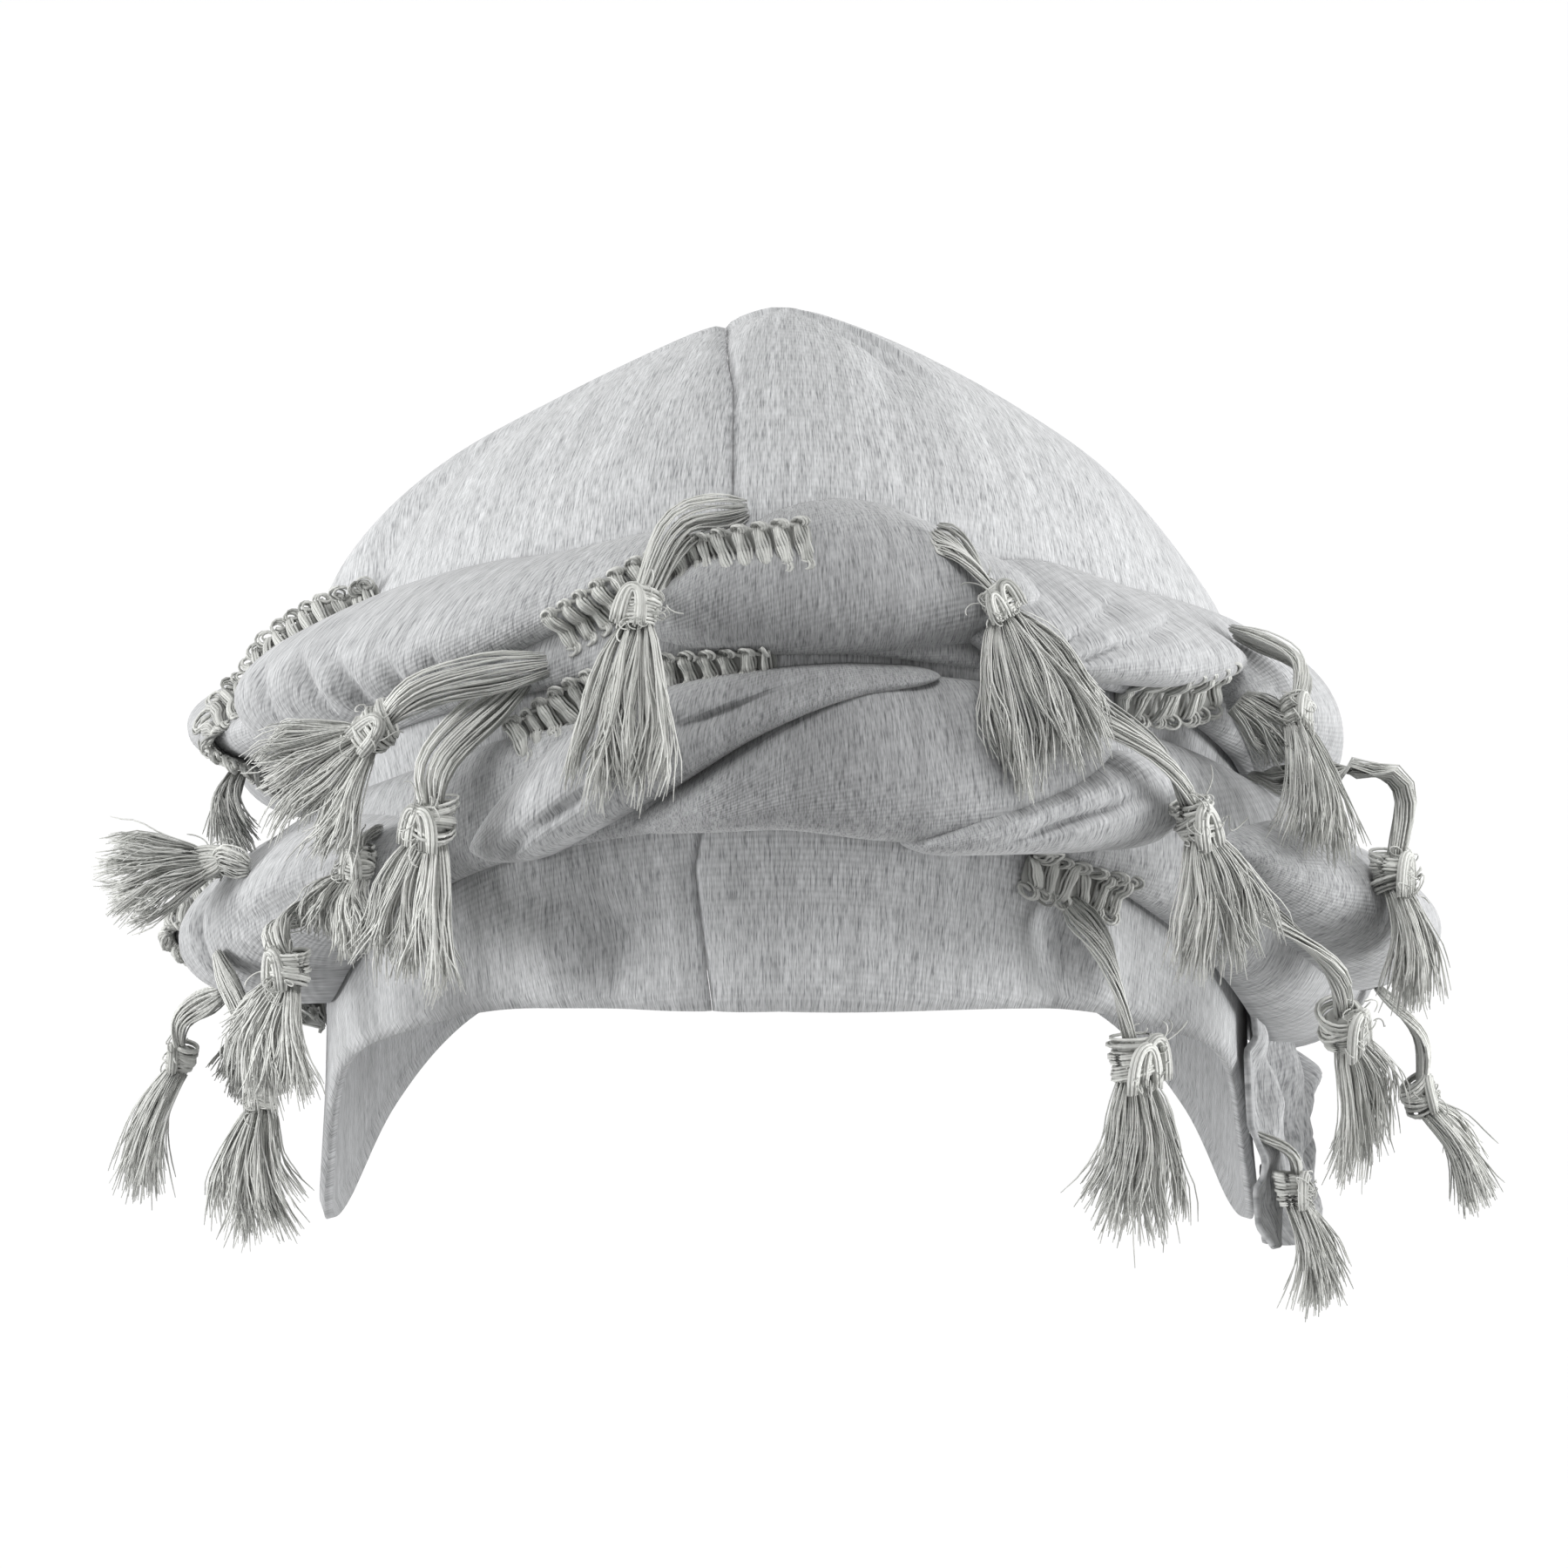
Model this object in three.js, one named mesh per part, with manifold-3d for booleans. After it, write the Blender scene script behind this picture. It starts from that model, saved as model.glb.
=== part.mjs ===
// Turban cap in heather jersey: a pointed two-panel crown, a scarf twisted and wound in two turns
// round the brow, ribbed braid along the scarf's edges, and knotted thread tassels.
// Millimetres, +Z up, the brow faces -Y and +X is the right side as seen from the front.
// The origin is the crown's inner apex, where the top of the head sits.
import * as THREE from 'three';
import { mergeVertices } from 'three/addons/utils/BufferGeometryUtils.js';
import Module from 'manifold-3d';

const wasm = await Module();
wasm.setup();

// Driving dimensions
const CROWN_HALF_BREADTH = 87; // half width of the crown under the scarf
const CROWN_DROP = 117; // from the apex down to the rim over the brow
const FRONT_REACH = 1.07; // half depth in front, as a share of the half breadth
const BACK_REACH = 1.16; // half depth behind, as a share of the half breadth
const CROWN_WALL = 1.8; // jersey of the crown, with its seam allowance
const SEAM_OFFSET = 12; // the front-to-back seam lies this far left of the middle
const ROLL_HALF_HEIGHT = 20; // half height of a scarf turn at its fullest
const ROLL_DEPTH = 30; // how far the fullest roll stands off the crown
const SCARF_HEM = 1.6; // thickness of the scarf at the edge of a turn
const CORE_SHARE = 0.8; // depth of a turn between its rolls, as a share of its listed depth
const TURN_GAP = 0.6; // between the upper and the lower turn
const CROWN_GAP = 0.9; // between the crown and the scarf
const LAY_GAP = 0.37; // between a trim or tassel and what it lies on
const SEAM_GAP = 0.3; // between the two crown panels
const BRAID_WIDTH = 8;
const BRAID_THICKNESS = 3;
const RIB_PITCH = 3.4;
const RIB_GROOVE = { width: 0.8, thickness: 0.55 }; // between ribs, as shares of the braid's
const BRAID_PATCH = { degrees: 2.3, reach: 1.8 }; // the patch of cloth that a braid's corner clears
const TRIM_PATCH = { degrees: 2.5, reach: 2 }; // the same for a tassel
const ROOT_PATCH = { degrees: 0.3, reach: 0.3 }; // the same for the end of a tassel's stem
const STEM_RADIUS = 1.7; // the bundle of strands that carries a tassel
const KNOT_RADIUS = 4.4;
const LOCK_RADIUS = 2.5; // one lock of a tassel's tail
const TAIL_SPREAD = 8; // half width of a usual tail at its tip
const LOCKS = 5;
const LOCK_TIP = 0.75; // a lock's radius at its ends, as a share of LOCK_RADIUS
const LOCK_SWELL = 0.5; // how much thicker it is in the middle, as a share of LOCK_RADIUS
const LOCK_LAYER = 0.5; // locks lie by turns this far before and behind, as a share of LOCK_RADIUS
const SIDE_LOCK_LOSS = 0.12; // the outermost locks are shorter by this share
const INNER_LOCK_LOSS = 0.06; // and every second lock by this one
const LOCK_FREE = 0.2; // the share of a lock, inside the knot, that doesn't lie on the cap
const END_WIDTH = 34; // width of the scarf's hanging end
const END_THICKNESS = 3;
const END_LENGTH = 34;
const END_PLEATS = 2;
const END_PLEAT = 3; // how deep the pleats of the hanging end are
const END_TAPER = 0.25; // how much narrower the hanging end is at its tip
const END_AT = 84; // the angle at which the scarf's end hangs

// Mesh fineness
const COLUMNS = 56; // steps round the crown and round each turn
const CROWN_ROWS = 9;
const OUTER_STEPS = 11;
const INNER_STEPS = 4;
const ROW_CROWDING = 1.5; // rows of the crown lie closer near its apex by this power
const STEP = 0.02; // share of a curve over which its direction is taken
const LEAST_HALF = 0.5; // a fold's least half height

const JERSEY = { color: 0xc9cccd, roughness: 0.95, metalness: 0 };
const THREAD = { color: 0xaaaca5, roughness: 0.7, metalness: 0 };

// Turns rows of plain numbers into rows with named columns.
function table(columns, rows) {
  const names = columns.split(' ');
  return rows.map((row) => Object.fromEntries(names.map((name, i) => [name, row[i]])));
}

// Crown profile: how wide the crown is at each depth below its apex.
// down is a share of CROWN_DROP, half a share of CROWN_HALF_BREADTH.
const PROFILE = table('down half', [
  [0, 0], [0.019, 0.115], [0.068, 0.276], [0.145, 0.471], [0.256, 0.684], [0.397, 0.851],
  [0.513, 0.948], [0.641, 0.989], [0.855, 1], [1.24, 1.01], [1.5, 1.034],
]).map((row) => ({ ...row, root: Math.sqrt(row.down) }));

// Rim: its depth below the apex at each angle from the middle of the brow, alike on both sides.
const RIM = table('at down', [
  [0, 1], [32, 1.017], [55, 1.1], [70, 1.18], [77, 1.25], [83, 1.4], [90, 1.48], [104, 1.48],
  [120, 1.36], [140, 1.23], [160, 1.2], [180, 1.2],
]);

// The line between the two turns of the scarf, from the back round the left to the back again.
const DIVIDE = table('at down', [
  [-180, 0.846], [-120, 0.855], [-90, 0.846], [-65, 0.744], [-40, 0.615], [-25, 0.547], [0, 0.487],
  [20, 0.496], [35, 0.543], [45, 0.57], [55, 0.615], [75, 0.752], [90, 0.838], [120, 0.863],
  [180, 0.846],
]);

// Folds of each turn. A fold is a rounded roll of cloth along the turn: at is its angle, down its
// middle as a share of CROWN_DROP, tall its half height as a share of ROLL_HALF_HEIGHT, and deep
// how far it stands off the crown as a share of ROLL_DEPTH.
const FOLD_COLUMNS = 'at down tall deep';
const UPPER_FOLDS = {
  core: table(FOLD_COLUMNS, [
    [-180, 0.684, 0.9, 0.57], [-130, 0.7, 0.95, 0.65], [-97, 0.675, 0.95, 0.85],
    [-80, 0.62, 0.75, 0.58], [-50, 0.513, 0.6, 0.27], [-25, 0.436, 0.55, 0.2], [0, 0.4, 0.45, 0.2],
    [25, 0.427, 0.5, 0.2], [50, 0.496, 0.55, 0.25], [75, 0.607, 0.8, 0.4], [95, 0.684, 0.95, 0.53],
    [130, 0.71, 0.95, 0.57], [180, 0.684, 0.9, 0.57],
  ]),
  leftRoll: table(FOLD_COLUMNS, [
    [-76, 0.6, 0.15, 0.5], [-70, 0.581, 0.57, 0.75], [-58, 0.521, 0.675, 0.63],
    [-45, 0.466, 0.6, 0.53], [-35, 0.427, 0.475, 0.47], [-27, 0.389, 0.375, 0.43],
    [-20, 0.355, 0.275, 0.4], [-10, 0.325, 0.16, 0.3], [3, 0.308, 0.07, 0.13],
  ]),
  browFold: table(FOLD_COLUMNS, [
    [-15, 0.444, 0.08, 0.27], [-10, 0.432, 0.25, 0.4], [-3, 0.41, 0.4, 0.47],
    [5, 0.397, 0.475, 0.5], [16, 0.397, 0.45, 0.5], [25, 0.415, 0.45, 0.47], [35, 0.44, 0.5, 0.47],
    [45, 0.466, 0.475, 0.47], [54, 0.487, 0.375, 0.47], [63, 0.52, 0.12, 0.3],
  ]),
  rightRoll: table(FOLD_COLUMNS, [
    [58, 0.564, 0.2, 0.3], [70, 0.598, 0.65, 0.55], [85, 0.658, 0.8, 0.58], [102, 0.7, 0.5, 0.5],
  ]),
};
const LOWER_FOLDS = {
  core: table(FOLD_COLUMNS, [
    [-180, 1.017, 0.95, 0.57], [-130, 1.02, 0.95, 0.73], [-97, 1.009, 0.95, 0.95],
    [-84, 0.96, 0.85, 0.67], [-55, 0.82, 0.65, 0.33], [-30, 0.7, 0.55, 0.2], [0, 0.624, 0.6, 0.2],
    [25, 0.658, 0.65, 0.23], [50, 0.786, 0.85, 0.37], [75, 0.94, 1.1, 0.75], [95, 1.026, 1.1, 1],
    [130, 1.02, 0.95, 0.8], [180, 1.017, 0.95, 0.57],
  ]),
  leftRoll: table(FOLD_COLUMNS, [
    [-89, 1, 0.25, 0.75], [-82, 0.983, 0.65, 0.92], [-73, 0.949, 0.8, 0.87], [-62, 0.88, 0.675, 0.7],
    [-50, 0.829, 0.5, 0.53], [-40, 0.795, 0.3, 0.4],
  ]),
  crossFold: table(FOLD_COLUMNS, [
    [-36, 0.786, 0.1, 0.27], [-28, 0.718, 0.45, 0.5], [-20, 0.65, 0.525, 0.57],
    [-12, 0.598, 0.45, 0.57], [-3, 0.547, 0.275, 0.5], [6, 0.517, 0.15, 0.4], [17, 0.509, 0.06, 0.27],
  ]),
  browRoll: table(FOLD_COLUMNS, [
    [-17, 0.735, 0.08, 0.2], [-8, 0.684, 0.325, 0.43], [0, 0.641, 0.55, 0.5], [9, 0.628, 0.725, 0.53],
    [17, 0.637, 0.725, 0.53], [28, 0.658, 0.675, 0.5], [36, 0.692, 0.45, 0.43], [42, 0.709, 0.2, 0.33],
  ]),
  cheekRoll: table(FOLD_COLUMNS, [
    [12, 0.752, 0.1, 0.4], [24, 0.726, 0.3, 0.57], [34, 0.701, 0.5, 0.6], [40, 0.709, 0.425, 0.57],
    [45, 0.718, 0.15, 0.4],
  ]),
  rightRoll: table(FOLD_COLUMNS, [
    [52, 0.8, 0.2, 0.5], [64, 0.87, 0.6, 0.87], [80, 0.95, 0.8, 1.12], [96, 1.01, 0.65, 1.15],
    [112, 1.03, 0.2, 0.9],
  ]),
};

// Rolls that slant across a turn as they pass round its sides and back: the angle where the first
// starts, the step to the next, the angle that each covers, and their size against the core's.
const TWIST = { from: 66, step: 38, span: 84, count: 5, slant: 0.62, tall: 0.5, proud: 1.14 };
const TWIST_END = { tall: 0.3, proud: 0.5 }; // the size of its ends, as shares of the same
const TWIST_STATIONS = 7;

// Braid stretches: the angle and depth (share of CROWN_DROP) of each point along them.
const BRAIDS = {
  braid_front: table('at down', [
    [-27, 0.455], [-20, 0.393], [-14, 0.35], [-6, 0.32], [3, 0.303],
  ]),
  braid_front_low: table('at down', [[-31, 0.615], [-25, 0.556], [-19, 0.521]]),
  braid_left_upper: table('at down', [[-73, 0.487], [-79, 0.556], [-83, 0.66], [-85, 0.769]]),
  braid_left_lower: table('at down', [[-89, 0.906], [-93, 0.991], [-92, 1.085], [-88, 1.145]]),
  braid_right: table('at down', [[43, 0.56], [49, 0.57], [55, 0.562]]),
  braid_right_low: table('at down', [[27, 0.81], [33, 0.838], [40, 0.872]]),
};

// Tassels. Angles are in degrees and depths are shares of CROWN_DROP for the root, a bend on the
// stem, the knot and the tip. spread is a share of TAIL_SPREAD; lift and flare are the least
// distances of stem and knot, and of the tip, off the crown, as shares of ROLL_DEPTH.
const TASSELS = table(
  'name rootAt rootDown bendAt bendDown knotAt knotDown tipAt tipDown spread lift flare',
  [
    ['tassel_01', -7, 0.275, -13, 0.29, -15.5, 0.405, -15, 0.665, 0.8, 0.6, 0.66],
    ['tassel_02', 18, 0.3, 20, 0.33, 23, 0.4, 25, 0.63, 0.9, 0.45, 0.6],
    ['tassel_03', -28, 0.5, -36, 0.53, -42, 0.598, -50, 0.74, 1.5, 0.7, 1],
    ['tassel_04', -31, 0.53, -34, 0.632, -34.5, 0.73, -37, 0.965, 1.1, 0.66, 0.7],
    ['tassel_05', -46.5, 0.77, -46, 0.785, -45.5, 0.81, -45, 0.92, 0.7, 0.6, 0.75],
    ['tassel_06', -53, 0.93, -52, 0.925, -50, 0.975, -51, 1.17, 1.4, 0.9, 0.9],
    ['tassel_07', -77, 1.08, -81, 1.13, -84, 1.2, -86, 1.42, 0.8, 0.9, 0.8],
    ['tassel_08', -64, 1.05, -62, 1.12, -60, 1.22, -59.5, 1.42, 1, 0.7, 0.7],
    ['tassel_09', -65, 0.85, -67, 0.84, -70, 0.85, -71, 0.82, 0.9, 0.8, 1.5],
    ['tassel_10', 65, 0.49, 63, 0.53, 60, 0.6, 55, 0.8, 1.1, 0.65, 0.9],
    ['tassel_11', 31, 0.53, 36, 0.63, 40.5, 0.735, 42.5, 0.94, 1.4, 0.7, 0.8],
    ['tassel_12', 33, 0.87, 35, 0.95, 39, 1.114, 38.5, 1.36, 1.2, 0.25, 0.25],
    ['tassel_13', 62.5, 0.718, 67, 0.71, 68, 0.86, 68, 1.05, 0.8, 1.05, 1.2],
    ['tassel_14', 52, 0.86, 56, 0.98, 59, 1.085, 67, 1.29, 1.3, 0.95, 0.9],
    ['tassel_15', 86, 1.19, 86, 1.23, 86, 1.29, 86.5, 1.44, 0.9, 1.05, 1.05],
    ['tassel_16', 76, 1.34, 76, 1.36, 76.5, 1.4, 77, 1.57, 1, 0.4, 0.4],
  ],
);

const { degToRad, radToDeg, clamp, lerp, euclideanModulo } = THREE.MathUtils;

// Smooth value of a column at a place between a table's rows: a cubic through the rows.
function through(rows, key, column, place) {
  const last = rows.length - 1;
  let i = 0;
  while (i < last - 1 && place > rows[i + 1][key]) i += 1;
  const slope = (j) => {
    const before = rows[Math.max(j - 1, 0)];
    const after = rows[Math.min(j + 1, last)];
    return (after[column] - before[column]) / (after[key] - before[key]);
  };
  const from = rows[i];
  const to = rows[i + 1];
  const span = to[key] - from[key];
  const t = clamp((place - from[key]) / span, 0, 1);
  const rise = to[column] - from[column];
  const a = slope(i) * span - rise;
  const b = rise - slope(i + 1) * span;
  return from[column] + rise * t + t * (1 - t) * (a * (1 - t) + b * t);
}

// Angles run from -180 to 180 degrees, 0 at the brow, positive to the right.
function turned(at) {
  return euclideanModulo(at + 180, 360) - 180;
}

// How much further out than the half breadth the oval crown lies at this angle.
function oval(at) {
  const angle = degToRad(at);
  const reach = Math.cos(angle) > 0 ? FRONT_REACH : BACK_REACH;
  return 1 / Math.hypot(Math.sin(angle), Math.cos(angle) / reach);
}

function crownRadius(at, down) {
  const root = Math.sqrt(Math.max(down, 0) / CROWN_DROP);
  return CROWN_HALF_BREADTH * through(PROFILE, 'root', 'half', root) * oval(at);
}

function place(at, radius, down) {
  const angle = degToRad(at);
  return new THREE.Vector3(
    radius * Math.sin(angle), -radius * Math.cos(angle), CROWN_WALL - down);
}

const rimDrop = (at) => CROWN_DROP * through(RIM, 'at', 'down', Math.abs(turned(at)));
const divideDrop = (at) => CROWN_DROP * through(DIVIDE, 'at', 'down', turned(at));

// One slanting roll: it crosses the core from its upper to its lower edge, thin at both ends.
function twistRoll(core, from) {
  return Array.from({ length: TWIST_STATIONS }, (_, i) => {
    const share = i / (TWIST_STATIONS - 1);
    const at = from + TWIST.span * share;
    const coreValue = (column) => through(core, 'at', column, turned(at));
    const halfDrop = (coreValue('tall') * ROLL_HALF_HEIGHT) / CROWN_DROP;
    const swell = Math.sin(Math.PI * share);
    return {
      at,
      down: coreValue('down') + TWIST.slant * halfDrop * (2 * share - 1),
      tall: TWIST.tall * coreValue('tall') * lerp(TWIST_END.tall, 1, swell),
      deep: coreValue('deep') * lerp(TWIST_END.proud, TWIST.proud, Math.sqrt(swell)),
    };
  });
}

for (const folds of [UPPER_FOLDS, LOWER_FOLDS]) {
  const core = folds.core;
  for (let i = 0; i < TWIST.count; i += 1) {
    folds[`twist${i + 1}`] = twistRoll(core, TWIST.from + TWIST.step * i);
  }
  folds.core = core.map((row) => ({ ...row, deep: row.deep * CORE_SHARE }));
}

// The angle by which a fold names a place, or null where the fold doesn't reach.
function angleOn(fold, at) {
  const angle = at < fold[0].at ? at + 360 : at;
  return angle > fold[fold.length - 1].at ? null : angle;
}

// How far a fold stands off the crown at this angle and depth, or 0 where it isn't.
function foldStand(fold, bearing, down) {
  const at = angleOn(fold, bearing);
  if (at === null) return 0;
  const half = ROLL_HALF_HEIGHT * through(fold, 'at', 'tall', at);
  const away = (down - CROWN_DROP * through(fold, 'at', 'down', at)) / Math.max(half, LEAST_HALF);
  if (Math.abs(away) >= 1) return 0;
  return ROLL_DEPTH * through(fold, 'at', 'deep', at) * Math.sqrt(1 - away * away);
}

// The upper and lower edge of a turn at this angle. The two turns meet at the divide.
function turnEdges(folds, isUpper, at) {
  let top = Infinity;
  let bottom = -Infinity;
  for (const fold of Object.values(folds)) {
    const angle = angleOn(fold, at);
    if (angle === null) continue;
    const half = ROLL_HALF_HEIGHT * through(fold, 'at', 'tall', angle);
    const middle = CROWN_DROP * through(fold, 'at', 'down', angle);
    top = Math.min(top, middle - half);
    bottom = Math.max(bottom, middle + half);
  }
  const divide = divideDrop(at);
  return isUpper
    ? { top, bottom: divide - TURN_GAP / 2 }
    : { top: divide + TURN_GAP / 2, bottom };
}

function turnStand(folds, at, down) {
  return Math.max(SCARF_HEM, ...Object.values(folds).map((fold) => foldStand(fold, at, down)));
}

const TURNS = [
  { name: 'upper_twist', folds: UPPER_FOLDS, isUpper: true },
  { name: 'lower_twist', folds: LOWER_FOLDS, isUpper: false },
];

// The scarf's hanging end: where it leaves the lower turn, and how far its face stands off.
const END_HALF_ANGLE = radToDeg(END_WIDTH / 2 / CROWN_HALF_BREADTH);
const endEdge = (at) => turnEdges(LOWER_FOLDS, false, at).bottom;

function endPleat(at) {
  const share = (at - END_AT) / (2 * END_HALF_ANGLE);
  return END_PLEAT * Math.sin(Math.PI * END_PLEATS * share) ** 2;
}

function endStand(at, down) {
  const edge = endEdge(at);
  const isOnEnd = Math.abs(at - END_AT) < END_HALF_ANGLE && down > edge && down < edge + END_LENGTH;
  return isOnEnd ? CROWN_GAP + endPleat(at) + END_THICKNESS : 0;
}

// Distance of the cap's outside from its axis, scarf included.
function outerRadius(at, down) {
  const angle = turned(at);
  let stand = endStand(angle, down);
  for (const turn of TURNS) {
    const { top, bottom } = turnEdges(turn.folds, turn.isUpper, angle);
    if (down > top && down < bottom) stand = CROWN_GAP + turnStand(turn.folds, angle, down);
  }
  return crownRadius(at, down) + stand;
}

// The same, as the highest of a small patch, so that a piece laid there clears the facets.
function patchRadius(at, down, { degrees, reach }) {
  let most = 0;
  for (const turn of [-degrees, 0, degrees]) {
    for (const step of [-reach, 0, reach]) {
      most = Math.max(most, outerRadius(at + turn, down + step));
    }
  }
  return most;
}

// Moves each vertex of a closed three.js geometry to where its uv places it.
function reshape(geometry, toPoint) {
  const { position, uv } = geometry.attributes;
  for (let i = 0; i < position.count; i += 1) {
    const corner = new THREE.Vector3().fromBufferAttribute(position, i);
    const point = toPoint(uv.getX(i), uv.getY(i), corner);
    position.setXYZ(i, point.x, point.y, point.z);
  }
  geometry.deleteAttribute('normal');
  geometry.deleteAttribute('uv');
  return outward(mergeVertices(geometry, 1e-4));
}

// Drops collapsed faces, and turns the faces round if they point inwards.
function outward(geometry) {
  const index = geometry.index.array;
  const corners = [0, 1, 2].map(() => new THREE.Vector3());
  const kept = [];
  let volume = 0;
  for (let i = 0; i < index.length; i += 3) {
    const face = [index[i], index[i + 1], index[i + 2]];
    if (new Set(face).size < 3) continue;
    face.forEach((vertex, j) => corners[j].fromBufferAttribute(geometry.attributes.position, vertex));
    volume += corners[0].dot(corners[1].clone().cross(corners[2]));
    kept.push(...face);
  }
  if (volume < 0) kept.reverse();
  geometry.setIndex(kept);
  return geometry;
}

function toSolid(geometry) {
  return new wasm.Manifold(new wasm.Mesh({
    numProp: 3,
    vertProperties: new Float32Array(geometry.attributes.position.array),
    triVerts: new Uint32Array(geometry.index.array),
  }));
}

function toGeometry(solid) {
  const { numProp, vertProperties, triVerts } = solid.getMesh();
  const geometry = new THREE.BufferGeometry();
  geometry.setAttribute('position', new THREE.BufferAttribute(vertProperties.slice(), numProp));
  geometry.setIndex(new THREE.BufferAttribute(triVerts.slice(), 1));
  return geometry;
}

// A point on the crown's outside; share runs from 0 at the apex to 1 at the rim.
function crownPoint(at, share) {
  const down = rimDrop(at) * share ** ROW_CROWDING;
  return place(at, crownRadius(at, down), down);
}

// The matching point on the crown's inside, one wall along the surface's normal.
function crownLining(at, share) {
  const here = crownPoint(at, share);
  if (share === 0) return here.clone().setZ(here.z - CROWN_WALL);
  const along = crownPoint(at, share + STEP).sub(crownPoint(at, share - STEP));
  const across = crownPoint(at + 1, share).sub(crownPoint(at - 1, share));
  const normal = across.cross(along).normalize();
  if (normal.dot(new THREE.Vector3(here.x, here.y, 0)) < 0) normal.negate();
  return here.addScaledVector(normal, -CROWN_WALL);
}

function crownShell() {
  const rings = 2 * CROWN_ROWS + 1;
  const sphere = new THREE.SphereGeometry(1, COLUMNS, rings);
  return reshape(sphere, (u, v) => {
    const ring = Math.round((1 - v) * rings);
    const at = turned(Math.round(u * COLUMNS) * (360 / COLUMNS));
    const isOutside = ring <= CROWN_ROWS;
    const share = (isOutside ? ring : rings - ring) / CROWN_ROWS;
    const isPole = ring === 0 || ring === rings;
    return isOutside ? crownPoint(isPole ? 0 : at, share) : crownLining(isPole ? 0 : at, share);
  });
}

// One panel of the crown: the shell on one side of the seam.
function crownPanel(shell, side) {
  const size = 4 * CROWN_HALF_BREADTH;
  const box = new THREE.BoxGeometry(size, size, size);
  box.translate(-SEAM_OFFSET + (side * (size + SEAM_GAP)) / 2, 0, 0);
  box.deleteAttribute('normal');
  box.deleteAttribute('uv');
  return toGeometry(toSolid(shell).intersect(toSolid(mergeVertices(box))));
}

// One turn of the scarf: a ring whose outside follows its folds and whose inside the crown.
function scarfTurn({ folds, isUpper }) {
  const sides = OUTER_STEPS + INNER_STEPS;
  const ring = new THREE.TorusGeometry(1, 0.4, sides, COLUMNS);
  return reshape(ring, (u, v) => {
    const at = turned(Math.round(u * COLUMNS) * (360 / COLUMNS));
    const side = Math.round(v * sides) % sides;
    const isOutside = side <= OUTER_STEPS;
    const share = isOutside ? side / OUTER_STEPS : 1 - (side - OUTER_STEPS) / INNER_STEPS;
    const { top, bottom } = turnEdges(folds, isUpper, at);
    const down = (top + bottom) / 2 - ((bottom - top) / 2) * Math.cos(Math.PI * share);
    const stand = isOutside ? turnStand(folds, at, down) : 0;
    return place(at, crownRadius(at, down) + CROWN_GAP + stand, down);
  });
}

// A ribbed strip laid along a path; its edges and its face step in and out with the ribs.
function braidStrip(path) {
  const points = path.map(({ at, down }) => (
    place(at, outerRadius(at, down * CROWN_DROP), down * CROWN_DROP)));
  const curve = new THREE.CatmullRomCurve3(points);
  const ribs = Math.max(3, Math.round(curve.getLength() / RIB_PITCH));
  const steps = 2 * ribs;
  const strip = new THREE.BoxGeometry(1, 1, 1, steps, 1, 1);
  return reshape(strip, (u, v, corner) => {
    const share = corner.x + 0.5;
    const isRib = Math.round(share * steps) % 2 === 1;
    const middle = curve.getPointAt(clamp(share, 0, 1));
    const along = curve.getTangentAt(clamp(share, 0, 1));
    const out = new THREE.Vector3(middle.x, middle.y, 0).normalize();
    const across = along.clone().cross(out).normalize();
    const halfWidth = (BRAID_WIDTH / 2) * (isRib ? 1 : RIB_GROOVE.width);
    const point = middle.clone().addScaledVector(across, 2 * corner.y * halfWidth);
    const thickness = corner.z > 0 ? BRAID_THICKNESS * (isRib ? 1 : RIB_GROOVE.thickness) : 0;
    return seatOn(point, LAY_GAP + thickness, BRAID_PATCH);
  });
}

// Where a point is round the cap: its angle, its depth below the apex and its radius.
function around(point) {
  return {
    at: radToDeg(Math.atan2(point.x, -point.y)),
    down: CROWN_WALL - point.z,
    radius: Math.hypot(point.x, point.y),
  };
}

// Moves a point straight out until it stands clear of the cap.
function layOn(point, stand) {
  const { at, down, radius } = around(point);
  return place(at, Math.max(radius, patchRadius(at, down, TRIM_PATCH) + stand), down);
}

// Moves a point in or out until it lies close on the cap.
function seatOn(point, stand, patch) {
  const { at, down } = around(point);
  return place(at, patchRadius(at, down, patch) + stand, down);
}

// A round bar along a curve, thick as radiusAt says, closed at both ends.
function bar(pointAt, radiusAt, sides, rings) {
  const sphere = new THREE.SphereGeometry(1, sides, rings);
  return reshape(sphere, (u, v) => {
    const share = 1 - v;
    const middle = pointAt(share);
    const along = pointAt(Math.min(share + STEP, 1)).sub(pointAt(Math.max(share - STEP, 0)));
    const out = new THREE.Vector3(middle.x, middle.y, 0).normalize();
    const across = along.clone().cross(out).normalize();
    const proud = across.clone().cross(along).normalize();
    const isPole = share < 1e-6 || share > 1 - 1e-6;
    const radius = isPole ? 0 : radiusAt(share);
    const angle = 2 * Math.PI * u;
    return middle
      .addScaledVector(across, radius * Math.cos(angle))
      .addScaledVector(proud, radius * Math.sin(angle));
  });
}

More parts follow.
